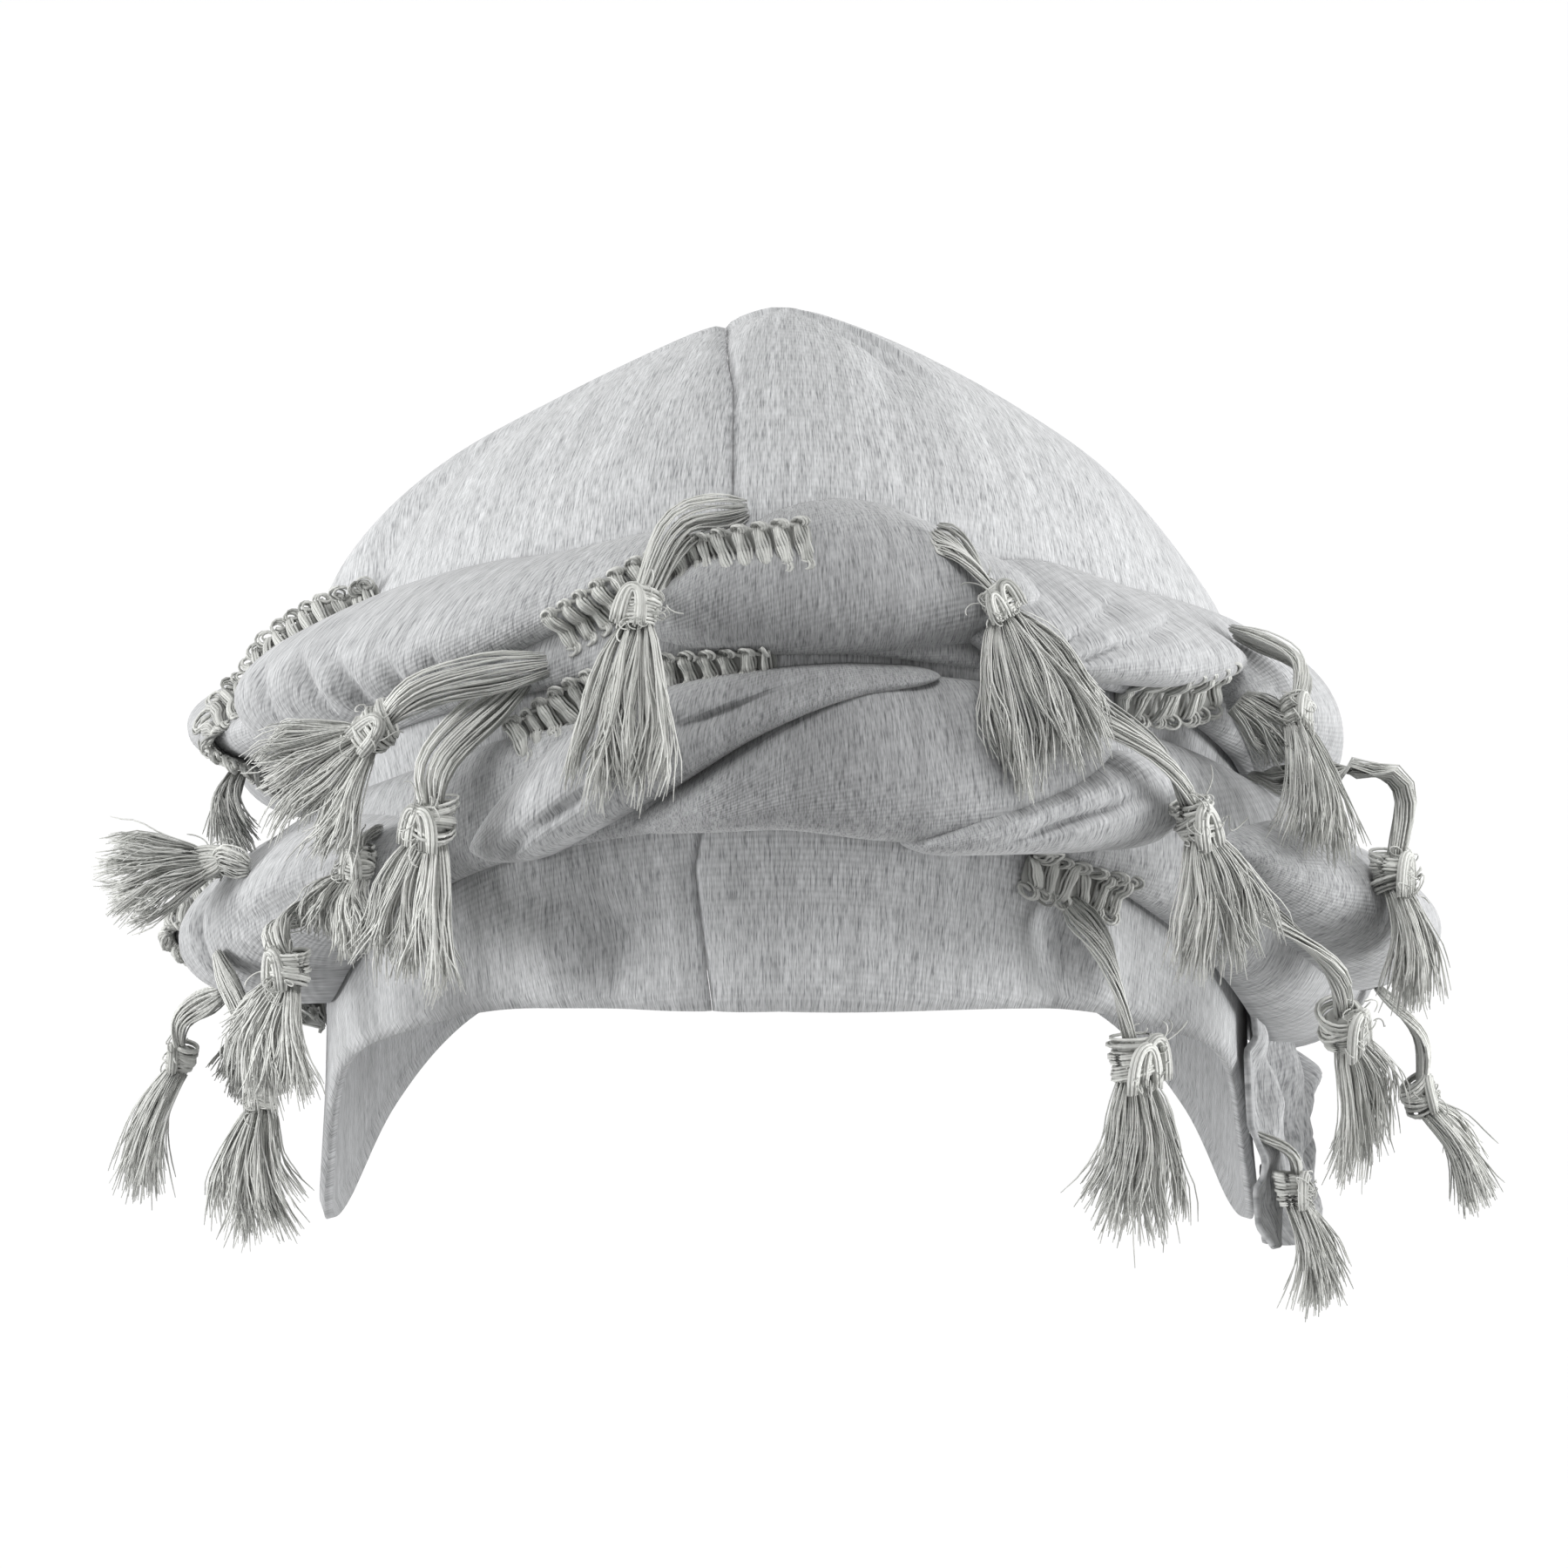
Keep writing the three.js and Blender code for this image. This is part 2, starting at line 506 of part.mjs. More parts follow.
// A tassel: a stem, a knot, and a tail of tapered locks that fan out from the knot.
function tassel(row) {
  const off = (at, down, least, stand) => {
    const drop = down * CROWN_DROP;
    return layOn(place(at, crownRadius(at, drop) + least * ROLL_DEPTH, drop), LAY_GAP + stand);
  };
  const root = seatOn(place(row.rootAt, 1, row.rootDown * CROWN_DROP), LAY_GAP, ROOT_PATCH);
  const bend = off(row.bendAt, row.bendDown, row.lift, STEM_RADIUS);
  const knot = off(row.knotAt, row.knotDown, row.lift, KNOT_RADIUS);
  const tip = off(row.tipAt, row.tipDown, row.flare, 2 * LOCK_RADIUS);

  const stemCurve = new THREE.CatmullRomCurve3([root, bend, knot]);
  const stemPoint = (share) => (
    share === 0 ? root.clone() : layOn(stemCurve.getPoint(share), LAY_GAP + STEM_RADIUS));
  let solid = toSolid(bar(stemPoint, () => STEM_RADIUS, 4, 5));

  const knotPoint = (share) => knot.clone().add(
    tip.clone().sub(knot).setLength(KNOT_RADIUS * (2 * share - 1)));
  const knotRadius = (share) => KNOT_RADIUS * Math.sqrt(Math.max(1 - (2 * share - 1) ** 2, 0));
  solid = solid.add(toSolid(bar(knotPoint, knotRadius, 6, 3)));

  const fall = tip.clone().sub(knot);
  const out = new THREE.Vector3(knot.x, knot.y, 0).normalize();
  const across = fall.clone().cross(out).normalize();
  const proud = across.clone().cross(fall).normalize();
  for (let i = 0; i < LOCKS; i += 1) {
    const aside = (2 * i) / (LOCKS - 1) - 1;
    const layer = i % 2 === 0 ? LOCK_LAYER : -LOCK_LAYER;
    const reach = 1 - SIDE_LOCK_LOSS * aside * aside - INNER_LOCK_LOSS * (i % 2);
    const end = knot.clone()
      .addScaledVector(fall, reach)
      .addScaledVector(across, aside * row.spread * TAIL_SPREAD)
      .addScaledVector(proud, layer * LOCK_RADIUS);
    const lockPoint = (share) => {
      const straight = knot.clone().lerp(end, share);
      return share < LOCK_FREE ? straight : layOn(straight, LAY_GAP + LOCK_RADIUS);
    };
    const lockRadius = (share) => (
      LOCK_RADIUS * (LOCK_TIP + LOCK_SWELL * Math.sin(Math.PI * share)));
    solid = solid.add(toSolid(bar(lockPoint, lockRadius, 4, 3)));
  }
  return toGeometry(solid);
}

// The scarf's end: a doubled strip that hangs from under the lower turn in two soft pleats.
function scarfEnd() {
  const strip = new THREE.BoxGeometry(1, 1, 1, 10, 4, 1);
  return reshape(strip, (u, v, corner) => {
    const narrowing = 1 - END_TAPER * (0.5 - corner.y);
    const aside = corner.x * END_WIDTH * narrowing;
    const at = END_AT + radToDeg(aside / CROWN_HALF_BREADTH);
    const down = endEdge(at) + LAY_GAP + END_LENGTH * (0.5 - corner.y);
    const stand = CROWN_GAP + endPleat(at) + (corner.z + 0.5) * END_THICKNESS;
    return place(at, crownRadius(at, down) + stand, down);
  });
}

function piece(name, geometry, finish) {
  const mesh = new THREE.Mesh(geometry, new THREE.MeshStandardMaterial(finish));
  mesh.name = name;
  return mesh;
}

const cap = new THREE.Group();
cap.name = 'turban_cap';

const shell = crownShell();
cap.add(piece('crown_panel_left', crownPanel(shell, -1), JERSEY));
cap.add(piece('crown_panel_right', crownPanel(shell, 1), JERSEY));
for (const turn of TURNS) cap.add(piece(turn.name, scarfTurn(turn), JERSEY));
cap.add(piece('scarf_end', scarfEnd(), JERSEY));
for (const [name, path] of Object.entries(BRAIDS)) cap.add(piece(name, braidStrip(path), THREAD));
for (const row of TASSELS) cap.add(piece(row.name, tassel(row), THREAD));

export default cap;
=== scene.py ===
"""Looks of a jersey turban cap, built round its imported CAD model: crown, wound scarf, braid, tassels.

Metres, +Z up, the brow faces -Y and +X is the right side as seen from the front.
"""

import math

import bmesh
import bpy
import numpy as np
from bpy.props import FloatProperty, FloatVectorProperty, IntProperty, PointerProperty
from bpy.types import Operator, Panel, PropertyGroup
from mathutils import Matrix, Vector


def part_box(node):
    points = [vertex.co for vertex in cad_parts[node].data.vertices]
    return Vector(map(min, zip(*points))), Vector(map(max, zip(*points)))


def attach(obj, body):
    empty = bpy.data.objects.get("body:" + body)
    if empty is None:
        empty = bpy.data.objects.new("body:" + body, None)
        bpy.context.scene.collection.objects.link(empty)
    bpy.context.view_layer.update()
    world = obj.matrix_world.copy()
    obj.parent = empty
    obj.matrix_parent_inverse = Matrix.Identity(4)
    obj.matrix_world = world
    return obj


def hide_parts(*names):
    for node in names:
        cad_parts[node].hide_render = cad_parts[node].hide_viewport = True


bl_info = {
    "name": "Turban cap",
    "version": (1, 0, 0),
    "blender": (4, 5, 0),
    "location": "View3D > Sidebar > Turban cap",
    "description": "Builds the looks of a jersey turban cap with a wound scarf, braid and tassels",
    "category": "Add Mesh",
}

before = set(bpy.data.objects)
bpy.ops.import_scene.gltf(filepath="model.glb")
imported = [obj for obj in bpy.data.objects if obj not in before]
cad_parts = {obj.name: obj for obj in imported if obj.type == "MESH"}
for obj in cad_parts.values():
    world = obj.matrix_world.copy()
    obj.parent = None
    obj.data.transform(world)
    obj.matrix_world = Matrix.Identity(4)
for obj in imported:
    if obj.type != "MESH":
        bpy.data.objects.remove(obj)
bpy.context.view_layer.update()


# Sizes and colours that a user would change


class CapSizes(PropertyGroup):
    half_breadth: FloatProperty(
        name="Half breadth", description="Half width of the crown under the scarf",
        default=0.087, unit="LENGTH")
    drop: FloatProperty(
        name="Drop", description="From the apex down to the rim over the brow",
        default=0.117, unit="LENGTH")
    wall: FloatProperty(
        name="Crown wall", description="Thickness of the crown's jersey",
        default=0.0016, unit="LENGTH")
    roll_half_height: FloatProperty(
        name="Roll half height", description="Half height of a scarf turn at its fullest",
        default=0.020, unit="LENGTH")
    roll_depth: FloatProperty(
        name="Roll depth", description="How far the fullest roll stands off the crown",
        default=0.030, unit="LENGTH")
    braid_width: FloatProperty(
        name="Braid width", description="Width of the ribbed braid", default=0.008, unit="LENGTH")
    rib_pitch: FloatProperty(
        name="Rib pitch", description="From one rib of the braid to the next",
        default=0.0033, unit="LENGTH")
    thread_radius: FloatProperty(
        name="Thread radius", description="Radius of one thread of a tassel",
        default=0.00016, unit="LENGTH")
    strand_radius: FloatProperty(
        name="Strand radius", description="Radius of one strand of a knot or braid",
        default=0.00033, unit="LENGTH")
    knot_radius: FloatProperty(
        name="Knot radius", description="Radius of a tassel's knot", default=0.0043, unit="LENGTH")
    tail_spread: FloatProperty(
        name="Tail spread", description="Half width of a usual tail at its tip",
        default=0.008, unit="LENGTH")
    tail_threads: IntProperty(
        name="Tail threads", description="Threads in a tassel's tail", default=320)
    course_pitch: FloatProperty(
        name="Course pitch", description="From one knitted row of the jersey to the next",
        default=0.00095, unit="LENGTH")
    wale_pitch: FloatProperty(
        name="Wale pitch", description="From one column of stitches to the next",
        default=0.0007, unit="LENGTH")


class CapColours(PropertyGroup):
    jersey: FloatVectorProperty(
        name="Jersey", description="Light fibres of the heather jersey", subtype="COLOR",
        default=(0.645, 0.652, 0.66))
    marl: FloatVectorProperty(
        name="Marl", description="Dark fibres of the heather jersey", subtype="COLOR",
        default=(0.24, 0.245, 0.252))
    thread: FloatVectorProperty(
        name="Thread", description="Thread of the tassels", subtype="COLOR",
        default=(0.54, 0.545, 0.52))
    thread_shade: FloatVectorProperty(
        name="Thread shade", description="Darkest threads of tassels and braid", subtype="COLOR",
        default=(0.21, 0.215, 0.20))
    floor: FloatVectorProperty(
        name="Floor", description="Pale floor and backdrop", subtype="COLOR",
        default=(0.98, 0.98, 0.98))
    mat: FloatVectorProperty(
        name="Mat", description="Grey middle of the floor, under the cap", subtype="COLOR",
        default=(0.46, 0.46, 0.46))


def sizes():
    return bpy.context.scene.cap_sizes


def colours():
    return bpy.context.scene.cap_colours


# Tables


def table(columns, rows):
    """Rows of plain numbers as arrays under their columns' names."""
    names = columns.split()
    return {name: np.array([row[i] for row in rows], float) for i, name in enumerate(names)}


FRONT_REACH = 1.07  # half depth in front, as a share of the half breadth
BACK_REACH = 1.16  # half depth behind, as a share of the half breadth
CROWN_LIFT = 0.0018  # the crown's outside apex over the origin
CROWN_GAP = 0.0009  # between the crown and the scarf
SEAM_X = -0.012  # the front-to-back seam lies this far left of the middle
SEAM_GAP = 0.0001  # between the crown's two panels
CORE_SHARE = 0.8  # depth of a turn between its rolls, as a share of its listed depth
CLOTH_REACH = 1.15  # usual radius of the scarf, as a share of the half breadth

# Crown profile: depth below the apex as a share of the drop, half width as one of the half breadth.
PROFILE = table("down half", [
    (0, 0), (0.019, 0.115), (0.068, 0.276), (0.145, 0.471), (0.256, 0.684), (0.397, 0.851),
    (0.513, 0.948), (0.641, 0.989), (0.855, 1), (1.24, 1.01), (1.5, 1.034),
])
PROFILE["root"] = np.sqrt(PROFILE["down"])

# Rim: its depth below the apex at each angle from the middle of the brow, alike on both sides.
RIM = table("at down", [
    (0, 1.018), (32, 1.034), (55, 1.11), (70, 1.18), (77, 1.25), (83, 1.4), (90, 1.48), (104, 1.48),
    (120, 1.36), (140, 1.23), (160, 1.2), (180, 1.2),
])

CREASE_COLUMNS = "at down at2 down2 width height"

# Dents and swells of the crown: angle and depth share of both ends, width and height in metres.
CROWN_DENTS = table(CREASE_COLUMNS, [
    (-21, 0.84, -19, 1.0, 0.007, -0.0042),
    (-28, 0.86, -27, 1.0, 0.006, 0.0030),
    (31, 0.84, 33, 1.02, 0.006, -0.0048),
    (38, 0.9, 39, 1.03, 0.005, 0.0026),
    (45, 0.026, 52, 0.052, 0.0016, -0.0008),
    (52, 0.052, 42, 0.085, 0.0018, -0.0010),
    (42, 0.085, 30, 0.108, 0.0020, -0.0008),
    (60, 0.03, 62, 0.07, 0.009, 0.0016),
    (-40, 0.12, -52, 0.3, 0.012, -0.0009),
    (48, 0.16, 55, 0.36, 0.014, -0.0009),
    (-76, 0.38, -94, 0.5, 0.026, 0.0075),
])


def fold(rows, creases=None, **shape):
    """A fold of the scarf: its course, and how its section, ends and surface are shaped.

    lean tips its fullest line downwards. top and bottom say how blunt its outline is there, less
    being blunter. round is the reach of its rounded ends in metres. fine is how many times closer
    than usual its mesh is along it.
    """
    made = {
        "rows": table("at down tall deep", rows), "lean": 0.15, "top": 1.0, "bottom": 0.75,
        "round": (0.006, 0.006), "ripple": 0.0007, "fine": 1.0,
        "creases": table(CREASE_COLUMNS, creases) if creases else None,
    }
    made.update(shape)
    return made


# Folds of each turn: at is the angle, down the middle as a share of the drop, tall the half
# height as a share of roll_half_height, deep how far it stands off as a share of roll_depth.
UPPER_FOLDS = {
    "core": fold([
        (-180, 0.684, 0.9, 0.57), (-130, 0.7, 0.95, 0.65), (-97, 0.675, 0.95, 0.85),
        (-80, 0.62, 0.75, 0.58), (-50, 0.513, 0.6, 0.27), (-25, 0.436, 0.55, 0.2),
        (0, 0.4, 0.45, 0.2), (25, 0.427, 0.5, 0.2), (50, 0.496, 0.55, 0.25), (75, 0.607, 0.8, 0.4),
        (95, 0.684, 0.95, 0.53), (130, 0.71, 0.95, 0.57), (180, 0.684, 0.9, 0.57),
    ], round=(0, 0), ripple=0.0012, lean=0.05),
    "left_roll": fold([
        (-76, 0.6, 0.55, 0.6), (-70, 0.581, 0.62, 0.72), (-58, 0.521, 0.675, 0.63),
        (-45, 0.466, 0.6, 0.53), (-35, 0.427, 0.475, 0.47), (-27, 0.389, 0.375, 0.43),
        (-20, 0.355, 0.275, 0.4), (-10, 0.325, 0.16, 0.3), (3, 0.308, 0.07, 0.13),
    ], round=(0.013, 0.006), bottom=0.8, top=0.9, lean=0.05, fine=1.6, creases=[
        (-54.5, 0.6, -59.5, 0.51, 0.0016, -0.0028),
        (-48.5, 0.6, -53.0, 0.51, 0.0017, -0.0030),
        (-43.0, 0.585, -46.2, 0.5, 0.0016, -0.0026),
        (-38.0, 0.55, -41.0, 0.48, 0.0014, -0.0018),
        (-51.5, 0.6, -56.0, 0.5, 0.0016, 0.0012),
        (-62.0, 0.62, -66.0, 0.52, 0.0016, -0.0020),
    ]),
    "brow_fold": fold([
        (-19, 0.43, 0.15, 0.27), (-11, 0.405, 0.42, 0.48), (-3, 0.38, 0.58, 0.57),
        (5, 0.37, 0.64, 0.6), (14, 0.372, 0.62, 0.58), (22, 0.387, 0.5, 0.5), (32, 0.41, 0.2, 0.3),
    ], bottom=1.3, top=1.1, lean=-0.38, creases=[
        (-8, 0.33, 2, 0.31, 0.0014, -0.0008),
        (10, 0.33, 20, 0.38, 0.0016, -0.0010),
    ]),
    "temple_fold": fold([
        (20, 0.45, 0.1, 0.2), (24, 0.437, 0.3, 0.4), (29, 0.437, 0.47, 0.5), (38, 0.448, 0.52, 0.5),
        (47, 0.47, 0.48, 0.48), (55, 0.487, 0.375, 0.47), (63, 0.52, 0.12, 0.3),
    ], bottom=0.6, top=1.7, lean=0.3, fine=2.6, creases=[
        (27.1, 0.49, 33.3, 0.444, 0.0007, -0.0022),
        (33.3, 0.444, 43.9, 0.405, 0.0007, -0.0020),
        (29.4, 0.498, 38.8, 0.468, 0.0007, -0.0024),
        (38.8, 0.468, 51.6, 0.444, 0.0007, -0.0022),
    ]),
    "right_roll": fold([
        (58, 0.564, 0.2, 0.3), (70, 0.598, 0.65, 0.55), (85, 0.658, 0.8, 0.58),
        (102, 0.7, 0.5, 0.5),
    ]),
}
LOWER_FOLDS = {
    "core": fold([
        (-180, 1.017, 0.95, 0.57), (-130, 1.02, 0.95, 0.73), (-97, 1.009, 0.95, 0.95),
        (-84, 0.96, 0.85, 0.67), (-55, 0.82, 0.65, 0.33), (-30, 0.7, 0.55, 0.2),
        (0, 0.624, 0.6, 0.2), (25, 0.658, 0.65, 0.23), (50, 0.786, 0.85, 0.37),
        (75, 0.94, 1.1, 0.75), (95, 1.026, 1.1, 1), (130, 1.02, 0.95, 0.8),
        (180, 1.017, 0.95, 0.57),
    ], round=(0, 0), ripple=0.0012, lean=0.05),
    "left_roll": fold([
        (-89, 1, 0.6, 0.8), (-82, 0.983, 0.72, 0.92), (-73, 0.949, 0.8, 0.87),
        (-62, 0.88, 0.675, 0.7), (-50, 0.829, 0.5, 0.53), (-40, 0.795, 0.3, 0.4),
    ], round=(0.014, 0.008), fine=1.8, creases=[
        (-80.5, 0.84, -80.5, 1.12, 0.0012, -0.0034),
        (-73.5, 0.86, -72.5, 1.10, 0.0012, -0.0030),
        (-66, 0.95, -52, 0.86, 0.0018, -0.0014),
    ]),
    "brow_roll": fold([
        (-17, 0.735, 0.08, 0.2), (-8, 0.684, 0.325, 0.36), (0, 0.641, 0.55, 0.42),
        (9, 0.628, 0.725, 0.44), (17, 0.637, 0.725, 0.44), (28, 0.658, 0.675, 0.43),
        (36, 0.692, 0.45, 0.4), (42, 0.709, 0.2, 0.33),
    ], bottom=0.6, top=0.9, lean=0.3, creases=[
        (-12.5, 0.705, 2, 0.6, 0.0022, 0.0012),
        (12, 0.6, 30, 0.6, 0.006, -0.0012),
    ]),
    "cross_fold": fold([
        (-36, 0.786, 0.1, 0.27), (-28, 0.718, 0.45, 0.48), (-20, 0.65, 0.525, 0.52),
        (-12, 0.598, 0.45, 0.48), (-3, 0.547, 0.275, 0.4), (6, 0.517, 0.15, 0.32),
        (17, 0.509, 0.06, 0.24),
    ], bottom=0.55, top=0.9, lean=0.2, fine=1.8, creases=[
        (-16.6, 0.61, 2.0, 0.508, 0.0010, -0.0034),
        (-21.0, 0.63, -9.0, 0.55, 0.0009, -0.0022),
        (-30.5, 0.797, -25.2, 0.739, 0.0010, -0.0024),
        (-25.2, 0.739, -17.3, 0.655, 0.0009, -0.0022),
        (-24, 0.71, -8, 0.585, 0.0030, 0.0010),
    ]),
    "cheek_roll": fold([
        (12, 0.758, 0.1, 0.4), (24, 0.734, 0.28, 0.53), (34, 0.712, 0.44, 0.57),
        (40, 0.714, 0.42, 0.56), (46, 0.722, 0.15, 0.4),
    ], top=0.7, bottom=0.7, lean=0.0, fine=1.8, creases=[
        (17, 0.735, 36, 0.655, 0.0012, 0.0012),
        (20, 0.755, 33, 0.705, 0.0009, -0.0020),
        (24, 0.735, 37, 0.69, 0.0009, -0.0014),
    ]),
    "right_roll": fold([
        (52, 0.8, 0.2, 0.5), (64, 0.87, 0.6, 0.87), (80, 0.95, 0.8, 1.12), (96, 1.01, 0.65, 1.15),
        (112, 1.03, 0.2, 0.9),
    ]),
}

# Rolls that slant across a turn round its sides and back, sized against the core.
TWIST = {"from": 66, "step": 38, "span": 84, "count": 5, "slant": 0.62, "tall": 0.5, "proud": 1.14}
TWIST_STATIONS = 7

# Braid stretches: angle and depth share along them, unevenness from 0 to 1, share of the width.
BRAIDS = {
    "braid_front": (table("at down", [
        (-27.5, 0.46), (-20, 0.393), (-14, 0.35), (-6, 0.32), (3, 0.303)]), 0.2, 1),
    "braid_front_low": (table("at down", [
        (-32, 0.625), (-25, 0.556), (-19, 0.521), (-10, 0.505), (-1, 0.497)]), 0.4, 0.9),
    "braid_left_upper": (table("at down", [
        (-70, 0.455), (-76, 0.5), (-82, 0.6), (-84, 0.68), (-84, 0.78)]), 0.9, 1.4),
    "braid_left_lower": (table("at down", [
        (-89, 0.906), (-93, 0.991), (-92, 1.085), (-88, 1.145)]), 0.8, 1.2),
    "braid_right": (table("at down", [(42, 0.56), (49, 0.57), (56, 0.558)]), 1, 1.1),
    "braid_right_low": (table("at down", [(27, 0.81), (33, 0.838), (41, 0.872)]), 1, 0.9),
}

# Tassels: angle and depth share of root, bend, knot and tip; spread as a share of tail_spread;
# lift and flare as shares of roll_depth; stem is the stem's half width in metres; turns its twist;
# size the knot's, as a share of knot_radius.
TASSEL_COLUMNS = (
    "root_at root_down bend_at bend_down knot_at knot_down tip_at tip_down spread lift flare"
    " stem turns size")
TASSELS = table(TASSEL_COLUMNS, [
    (-7, 0.275, -13, 0.29, -15.5, 0.405, -15.5, 0.67, 1.1, 0.6, 0.66, 0.0042, 0.1, 1.0),
    (18, 0.3, 20, 0.33, 23, 0.4, 27, 0.645, 1.75, 0.45, 0.6, 0.0032, 0.3, 0.75),
    (-28, 0.5, -36, 0.53, -42, 0.598, -50, 0.745, 1.95, 0.7, 1, 0.0040, 0.2, 1.1),
    (-31, 0.53, -34, 0.632, -34.5, 0.73, -37.5, 0.975, 1.35, 0.66, 0.7, 0.0042, 0.15, 1.1),
    (-46.5, 0.77, -46, 0.785, -45.5, 0.81, -46, 0.94, 1.3, 0.6, 0.75, 0.0030, 0.1, 0.8),
    (-53, 0.9, -52, 0.915, -50, 0.975, -54, 1.175, 1.85, 0.9, 0.95, 0.0036, 0.1, 1.0),
    (-77, 1.08, -81, 1.13, -84, 1.2, -87, 1.43, 1.5, 0.9, 1.15, 0.0030, 0.3, 0.7),
    (-69, 0.99, -66, 1.09, -60.5, 1.2, -60.5, 1.42, 1.8, 0.7, 0.75, 0.0030, 0.3, 0.75),
    (-65, 0.85, -67, 0.84, -70, 0.85, -72, 0.885, 1.2, 0.8, 1.45, 0.0030, 0.1, 0.8),
    (65, 0.49, 63, 0.53, 60, 0.6, 56.5, 0.8, 1.35, 0.65, 0.9, 0.0040, 0.05, 0.75),
    (31, 0.53, 36, 0.63, 40.5, 0.735, 43, 0.95, 1.6, 0.7, 0.8, 0.0038, 0.35, 1.1),
    (33, 0.87, 35, 0.95, 39, 1.114, 38.5, 1.37, 1.4, 0.25, 0.25, 0.0034, 0.3, 1.3),
    (67, 0.722, 68.5, 0.712, 68, 0.86, 68, 1.06, 1.1, 1.05, 1.2, 0.0044, 0.4, 1.1),
    (52, 0.86, 56, 0.98, 59, 1.085, 66, 1.3, 1.5, 0.95, 0.9, 0.0034, 0.5, 1.25),
    (85, 1.09, 86, 1.17, 86, 1.27, 88, 1.43, 1.5, 1.05, 1.4, 0.0030, 0.2, 0.9),
    (76.5, 1.31, 76.5, 1.345, 76.5, 1.4, 77, 1.58, 1.2, 0.26, 0.4, 0.0030, 0.2, 0.9),
])


# Shape of the cap


def through(rows, key, column, at):
    """Smooth value of a column at places between a table's rows: a cubic through the rows."""
    keys, values = rows[key], rows[column]
    last = len(keys) - 1
    index = np.arange(last + 1)
    before, after = np.maximum(index - 1, 0), np.minimum(index + 1, last)
    slopes = (values[after] - values[before]) / (keys[after] - keys[before])
    at = np.asarray(at, float)
    i = np.clip(np.searchsorted(keys, at) - 1, 0, last - 1)
    span = keys[i + 1] - keys[i]
    t = np.clip((at - keys[i]) / span, 0, 1)
    rise = values[i + 1] - values[i]
    a = slopes[i] * span - rise
    b = rise - slopes[i + 1] * span
    return values[i] + rise * t + t * (1 - t) * (a * (1 - t) + b * t)


def turned(at):
    """Angles run from -180 to 180 degrees, 0 at the brow, positive to the right."""
    return np.mod(np.asarray(at, float) + 180, 360) - 180


def crown_radius(at, down):
    angle = np.radians(at)
    reach = np.where(np.cos(angle) > 0, FRONT_REACH, BACK_REACH)
    oval = 1 / np.hypot(np.sin(angle), np.cos(angle) / reach)
    root = np.sqrt(np.maximum(down, 0) / sizes().drop)
    return sizes().half_breadth * through(PROFILE, "root", "half", root) * oval


def place(at, radius, down):
    angle = np.radians(at)
    shape = np.broadcast_shapes(np.shape(at), np.shape(radius), np.shape(down))
    parts = (radius * np.sin(angle), -radius * np.cos(angle), CROWN_LIFT - np.asarray(down))
    return np.stack([np.broadcast_to(part, shape) for part in parts], axis=-1)


def around(points):
    """Angle, depth below the apex and radius of points."""
    at = np.degrees(np.arctan2(points[..., 0], -points[..., 1]))
    return at, CROWN_LIFT - points[..., 2], np.hypot(points[..., 0], points[..., 1])


def rim_drop(at):
    return sizes().drop * through(RIM, "at", "down", np.abs(turned(at)))


def twist_roll(core, start, number):
    """One slanting roll: it crosses the core from its upper to its lower edge."""
    rows = []
    half_share = sizes().roll_half_height / sizes().drop
    for i in range(TWIST_STATIONS):
        share = i / (TWIST_STATIONS - 1)
        at = start + TWIST["span"] * share
        mid, tall, deep = (
            float(through(core, "at", column, turned(at))) for column in ("down", "tall", "deep"))
        swell = math.sin(math.pi * share)
        rows.append((
            at,
            mid + TWIST["slant"] * tall * half_share * (2 * share - 1),
            TWIST["tall"] * tall * (0.3 + 0.7 * swell),
            deep * (0.5 + (TWIST["proud"] - 0.5) * math.sqrt(max(swell, 0))),
        ))
    return fold(rows, ripple=0.0010, bottom=0.7, top=0.8, lean=0.1 + 0.03 * (number % 2))


def with_twists(folds):
    """The folds of a turn, with the slanting rolls of its sides and back."""
    core = folds["core"]
    made = dict(folds)
    for i in range(TWIST["count"]):
        start = TWIST["from"] + TWIST["step"] * i
        made[f"twist_{i + 1}"] = twist_roll(core["rows"], start, i)
    rows = dict(core["rows"])
    rows["deep"] = rows["deep"] * CORE_SHARE
    made["core"] = {**core, "rows": rows}
    return made


def fold_size(spec, at):
    """Middle, half height and depth of a fold at angles of its own, in metres."""
    rows = spec["rows"]
    length = np.radians(rows["at"][-1] - rows["at"][0]) * sizes().half_breadth
    share = (at - rows["at"][0]) / (rows["at"][-1] - rows["at"][0])
    end = np.ones_like(at, dtype=float)
    for reach, distance in ((spec["round"][0], share), (spec["round"][1], 1 - share)):
        if reach:
            near = np.clip(distance * length / reach, 0, 1)
            end = end * np.sqrt(np.clip(1 - (1 - near) ** 2, 0, 1))
    middle = sizes().drop * through(rows, "at", "down", at)
    half = sizes().roll_half_height * through(rows, "at", "tall", at) * end
    deep = sizes().roll_depth * through(rows, "at", "deep", at) * np.sqrt(end)
    return middle, half, deep


def fold_stand(spec, at, down):
    """How far a fold stands off the crown at places, or 0 where it isn't."""
    rows = spec["rows"]
    angle = np.where(at < rows["at"][0], at + 360, at)
    inside = angle <= rows["at"][-1]
    angle = np.clip(angle, rows["at"][0], rows["at"][-1])
    middle, half, deep = fold_size(spec, angle)
    away = (down - middle) / np.maximum(half, 1e-4)
    lean = spec["lean"]
    inner = np.maximum(1 + 4 * lean * (lean - away), 0)
    across = (1 - np.sqrt(inner)) / (2 * lean) if lean else away
    inside = inside & (np.abs(away) < 1) & (np.abs(across) < 1)
    across = np.clip(across, -1, 1)
    power = np.where(across < 0, spec["top"], spec["bottom"])
    stand = deep * np.sqrt(1 - across ** 2) ** power
    return np.where(inside, stand, 0)


